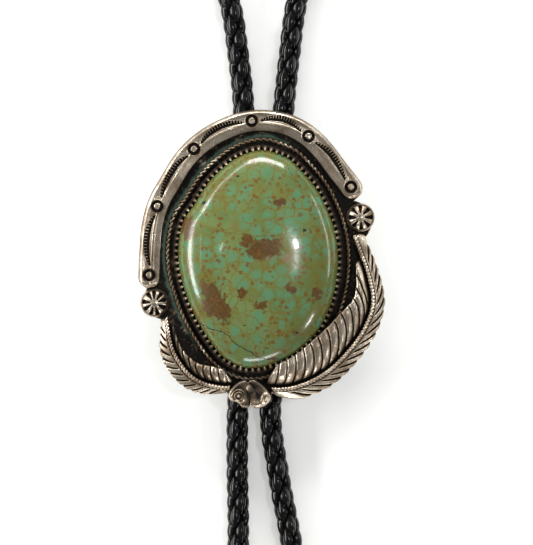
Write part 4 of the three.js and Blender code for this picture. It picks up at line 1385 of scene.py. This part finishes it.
@dataclass
class StoneSetting:
    """The saw-toothed bezel and the twisted wire round it."""

    slide: SlideSizes
    wall_height: float = 3.5
    tooth_pitch: float = 1.28
    tooth_height: float = 0.95
    tooth_lean: float = 0.3
    wire_pitch: float = 2.3
    wire_strand: float = 0.31
    wire_turn: float = 0.21

    def bezel(self, silver: bpy.types.Material) -> None:
        """Makes the bezel: a wall whose top rises and leans in, in a zigzag of one tooth a pitch.

        Args:
            silver: Its finish.
        """
        edge = self.slide.edge
        teeth = round(edge.length / self.tooth_pitch)
        share = np.linspace(0, 1, 14 * teeth, endpoint=False)[:, None]
        size = 1 + 0.12 * np.sin(share * 97.0) + 0.1 * np.sin(share * 231.0)
        tooth = (1 - np.abs(2 * np.mod(teeth * share, 1) - 1)) ** 1.15 * size
        root = self.wall_height - self.tooth_height
        tip = root + self.tooth_height * np.clip(tooth, 0, 1)
        lean = 0.42 - (0.42 + self.tooth_lean) * np.clip(tooth, 0, 1.1)
        wall, seat, sink = self.slide.bezel_reach, self.slide.seat_gap + 0.02, self.slide.sink
        thin = wall - 0.12
        ones = np.ones_like(share)
        reach = np.concatenate([
            wall * ones, wall * ones, wall * ones, thin * ones, 0.55 * thin + 0.45 * (lean + 0.2),
            lean + 0.14, lean, lean + 0.02, seat * ones, seat * ones,
        ], 1)
        height = np.concatenate([
            -sink * ones, 1.2 * ones, (root - 0.35) * ones, (root - 0.1) * ones,
            0.45 * root + 0.55 * tip, tip - 0.02, tip - 0.07, tip - 0.2, (root - 0.35) * ones, -sink * ones,
        ], 1)
        gap = 1 - ease(tooth, 0.25, 0.75)
        # Black low on the wall, in the gaps between the teeth and on the face towards the stone: oxide and
        # painted shade.
        soot = np.concatenate([
            ones, 0.75 * ones, 0.45 * ones, 0.5 + 0.3 * gap, 0.25 + 0.6 * gap,
            0.9 * gap - 0.15, 0.9 * gap - 0.15, 0.6 + 0.4 * gap, ones, ones,
        ], 1)
        rings = edge.beside(share, reach, self.slide.top + height)
        shell = Shell(rings, {"soot": soot}, loop=True)
        add_piece("toothed_bezel", [shell], silver, "silver_slide")

    def wire(self, silver: bpy.types.Material) -> None:
        """Makes the wire: two strands at an angle of 2 pi s / pitch round its middle line.

        Args:
            silver: Its finish.
        """
        edge = self.slide.edge
        turns = round((edge.length + TURN * self.slide.wire_reach) / self.wire_pitch)
        share = np.linspace(0, 1, 18 * turns, endpoint=False)
        shells = []
        for number in range(2):
            angle = TURN * turns * share + np.pi * number
            reach = self.slide.wire_reach + self.wire_turn * np.cos(angle)
            spine = edge.beside(share, reach, self.slide.top + 0.45 + self.wire_turn * np.sin(angle))
            rings = rounded(spine, self.wire_strand, 8, loop=True)
            over = rings[..., 2] - self.slide.top
            # The lower parts of the strands dark and only the tops bright: painted shade between and under
            # the strands.
            soot = 0.15 + 0.8 * (1 - ease(over, 0.45, 0.85))
            green = (1 - ease(over, 0.4, 0.7)) * upper_left(rings)
            shells.append(Shell(rings, {"soot": soot, "patina": green}, loop=True))
        add_piece("twisted_wire", shells, silver, "silver_slide")

    def build(self, silver: bpy.types.Material) -> None:
        """Makes both."""
        self.bezel(silver)
        self.wire(silver)


def upper_left(points: Array) -> Array:
    """1 at the upper left of the slide and 0 at its lower right."""
    return ease(points[..., 1] * 0.5 - points[..., 0], -2.0, 12.0)


@dataclass
class Backplate:
    """The sheet that carries everything."""

    slide: SlideSizes
    count: int = 720

    def outline(self, outlines: list[Array]) -> Array:
        """The outer outline of several: the farthest point of any in each direction.

        Args:
            outlines: Closed outlines round or beside the origin.

        Returns:
            Points of the outer outline.
        """
        far = np.zeros(self.count)
        for outline in outlines:
            points = Line(outline, closed=True).at(np.linspace(0, 1, 9000))
            angle = np.arctan2(points[:, 1], points[:, 0])
            slot = np.floor(np.mod(angle, TURN) / TURN * self.count).astype(int) % self.count
            np.maximum.at(far, slot, np.hypot(points[:, 0], points[:, 1]))
        angle = (np.arange(self.count) + 0.5) * TURN / self.count
        return np.stack([far * np.cos(angle), far * np.sin(angle)], -1)

    def build(self, outlines: list[Array], silver: bpy.types.Material) -> None:
        """Makes the plate: flat, black in the gaps with oxide and painted shade between the pieces, less
        dark towards the upper left and at the outer rim, and green beside the wire at the upper left.

        Args:
            outlines: Outlines of what stands on it.
            silver: Its finish.
        """
        outline = self.outline(outlines)
        share = np.concatenate([[1, 0.997], np.linspace(0.99, 0.5, 70), [0.25, 0.03]])
        spots = spread(outline, (0.0, 0.0), share)
        gap, _ = self.slide.edge.reach(spots)
        wave = unevenness(spots[..., 0], spots[..., 1], 3.0, 21)
        top = self.slide.top + 0.03 * wave * (share < 0.98)[:, None]
        top[0] -= 0.3
        side = upper_left(spots)
        beside_wire = bell(gap - self.slide.rim_reach, 0.7)
        patina = (0.95 * beside_wire + 0.35 * bell(gap - self.slide.rim_reach, 1.6)) * side
        fine = unevenness(spots[..., 0], spots[..., 1], 1.1, 22)
        # Black over the plate with oxide and painted shade between the pieces; less dark towards the upper
        # left and at the outer rim.
        soot = 0.76 + 0.22 * wave + 0.16 * fine - 0.12 * side
        soot = soot - 0.5 * (share[:, None] > 0.985)
        marks = {"soot": soot, "patina": patina}
        shell = cover(outline, (0.0, 0.0), share, top, self.slide.plate_bottom, marks)
        add_piece("backplate", [shell], silver, "silver_slide")


def main() -> None:
    """Builds the tie: the camera and the cord first, then the slide from the plate up."""
    logging.basicConfig(level=logging.INFO, format="%(name)s: %(message)s")
    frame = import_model()
    Studio().build()
    silver = TarnishedSilver().material()
    plain = TarnishedSilver(name="plain_silver", polish=0.2, tarnish=0.3).material()
    BraidedCord().build(BlackLeather().material(), plain)
    clip = frame["nodes"]["cord_clip"]
    clip.data.materials.clear()
    clip.data.materials.append(plain)
    slide = SlideSizes()
    bar = StampedBar(slide)
    buttons = [
        FlutedButton(slide, "left_button", (-0.859, -0.293), 9, 0.2, 4),
        FlutedButton(slide, "right_button", (0.795, 0.277), 8, 0.0, 9),
    ]
    feathers = [
        Feather(
            slide, "right_feather",
            rib=(
                (0.743, 0.16), (0.807, 0.02), (0.847, -0.073), (0.879, -0.173), (0.895, -0.253),
                (0.887, -0.34), (0.823, -0.473), (0.71, -0.607), (0.55, -0.74), (0.389, -0.82),
                (0.229, -0.863), (0.1, -0.868), (0.036, -0.857),
            ),
            outside=1, vane_start=0.115, inner_width=6.5,
            inner_shares=(0.15, 0.35, 0.61, 0.85, 0.93, 1.0, 0.97, 0.86, 0.62),
            inner_height=3.8, inner_grooves=13, outer_width=2.45,
            outer_shares=(0.62, 0.74, 0.82, 0.87, 0.91, 0.96, 1.0, 0.92, 0.25), outer_grooves=17,
        ),
        Feather(
            slide, "left_feather",
            rib=(
                (-0.767, -0.393), (-0.751, -0.473), (-0.735, -0.553), (-0.702, -0.633), (-0.654, -0.7),
                (-0.598, -0.76), (-0.526, -0.807), (-0.446, -0.837), (-0.365, -0.853), (-0.285, -0.86),
                (-0.229, -0.853),
            ),
            outside=-1, vane_start=0.07, inner_width=3.35,
            inner_shares=(0.12, 0.24, 0.34, 0.46, 0.64, 0.86, 0.99, 0.93, 0.62),
            inner_height=2.9, inner_grooves=9, outer_width=2.5,
            outer_shares=(0.3, 0.5, 0.8, 0.97, 0.98, 0.9, 0.74, 0.42, 0.12), outer_grooves=12,
        ),
    ]
    flower = FlowerButton(slide)
    rim = slide.edge.beside(np.linspace(0, 1, 300, endpoint=False), slide.rim_reach + 0.3, 0.0)
    outlines = [rim[:, :2], bar.outline(4.7)[:, :2], flower.outline(0.98)[:, :2]]
    outlines += [flower.base()]
    outlines += [outline for button in buttons for outline in (button.outline(0.98), button.base())]
    outlines += [feather.outline()[:, :2] for feather in feathers]
    Backplate(slide).build(outlines, silver)
    old = TarnishedSilver(name="old_silver", bright=(0.62, 0.53, 0.39), polish=0.26, tarnish=0.8)
    StoneSetting(slide).build(old.material())
    bar.build(silver)
    for part in [*buttons, *feathers, flower]:
        part.build(silver)
    Turquoise(slide).build(GreenTurquoise().material())


if __name__ == "__main__":
    main()
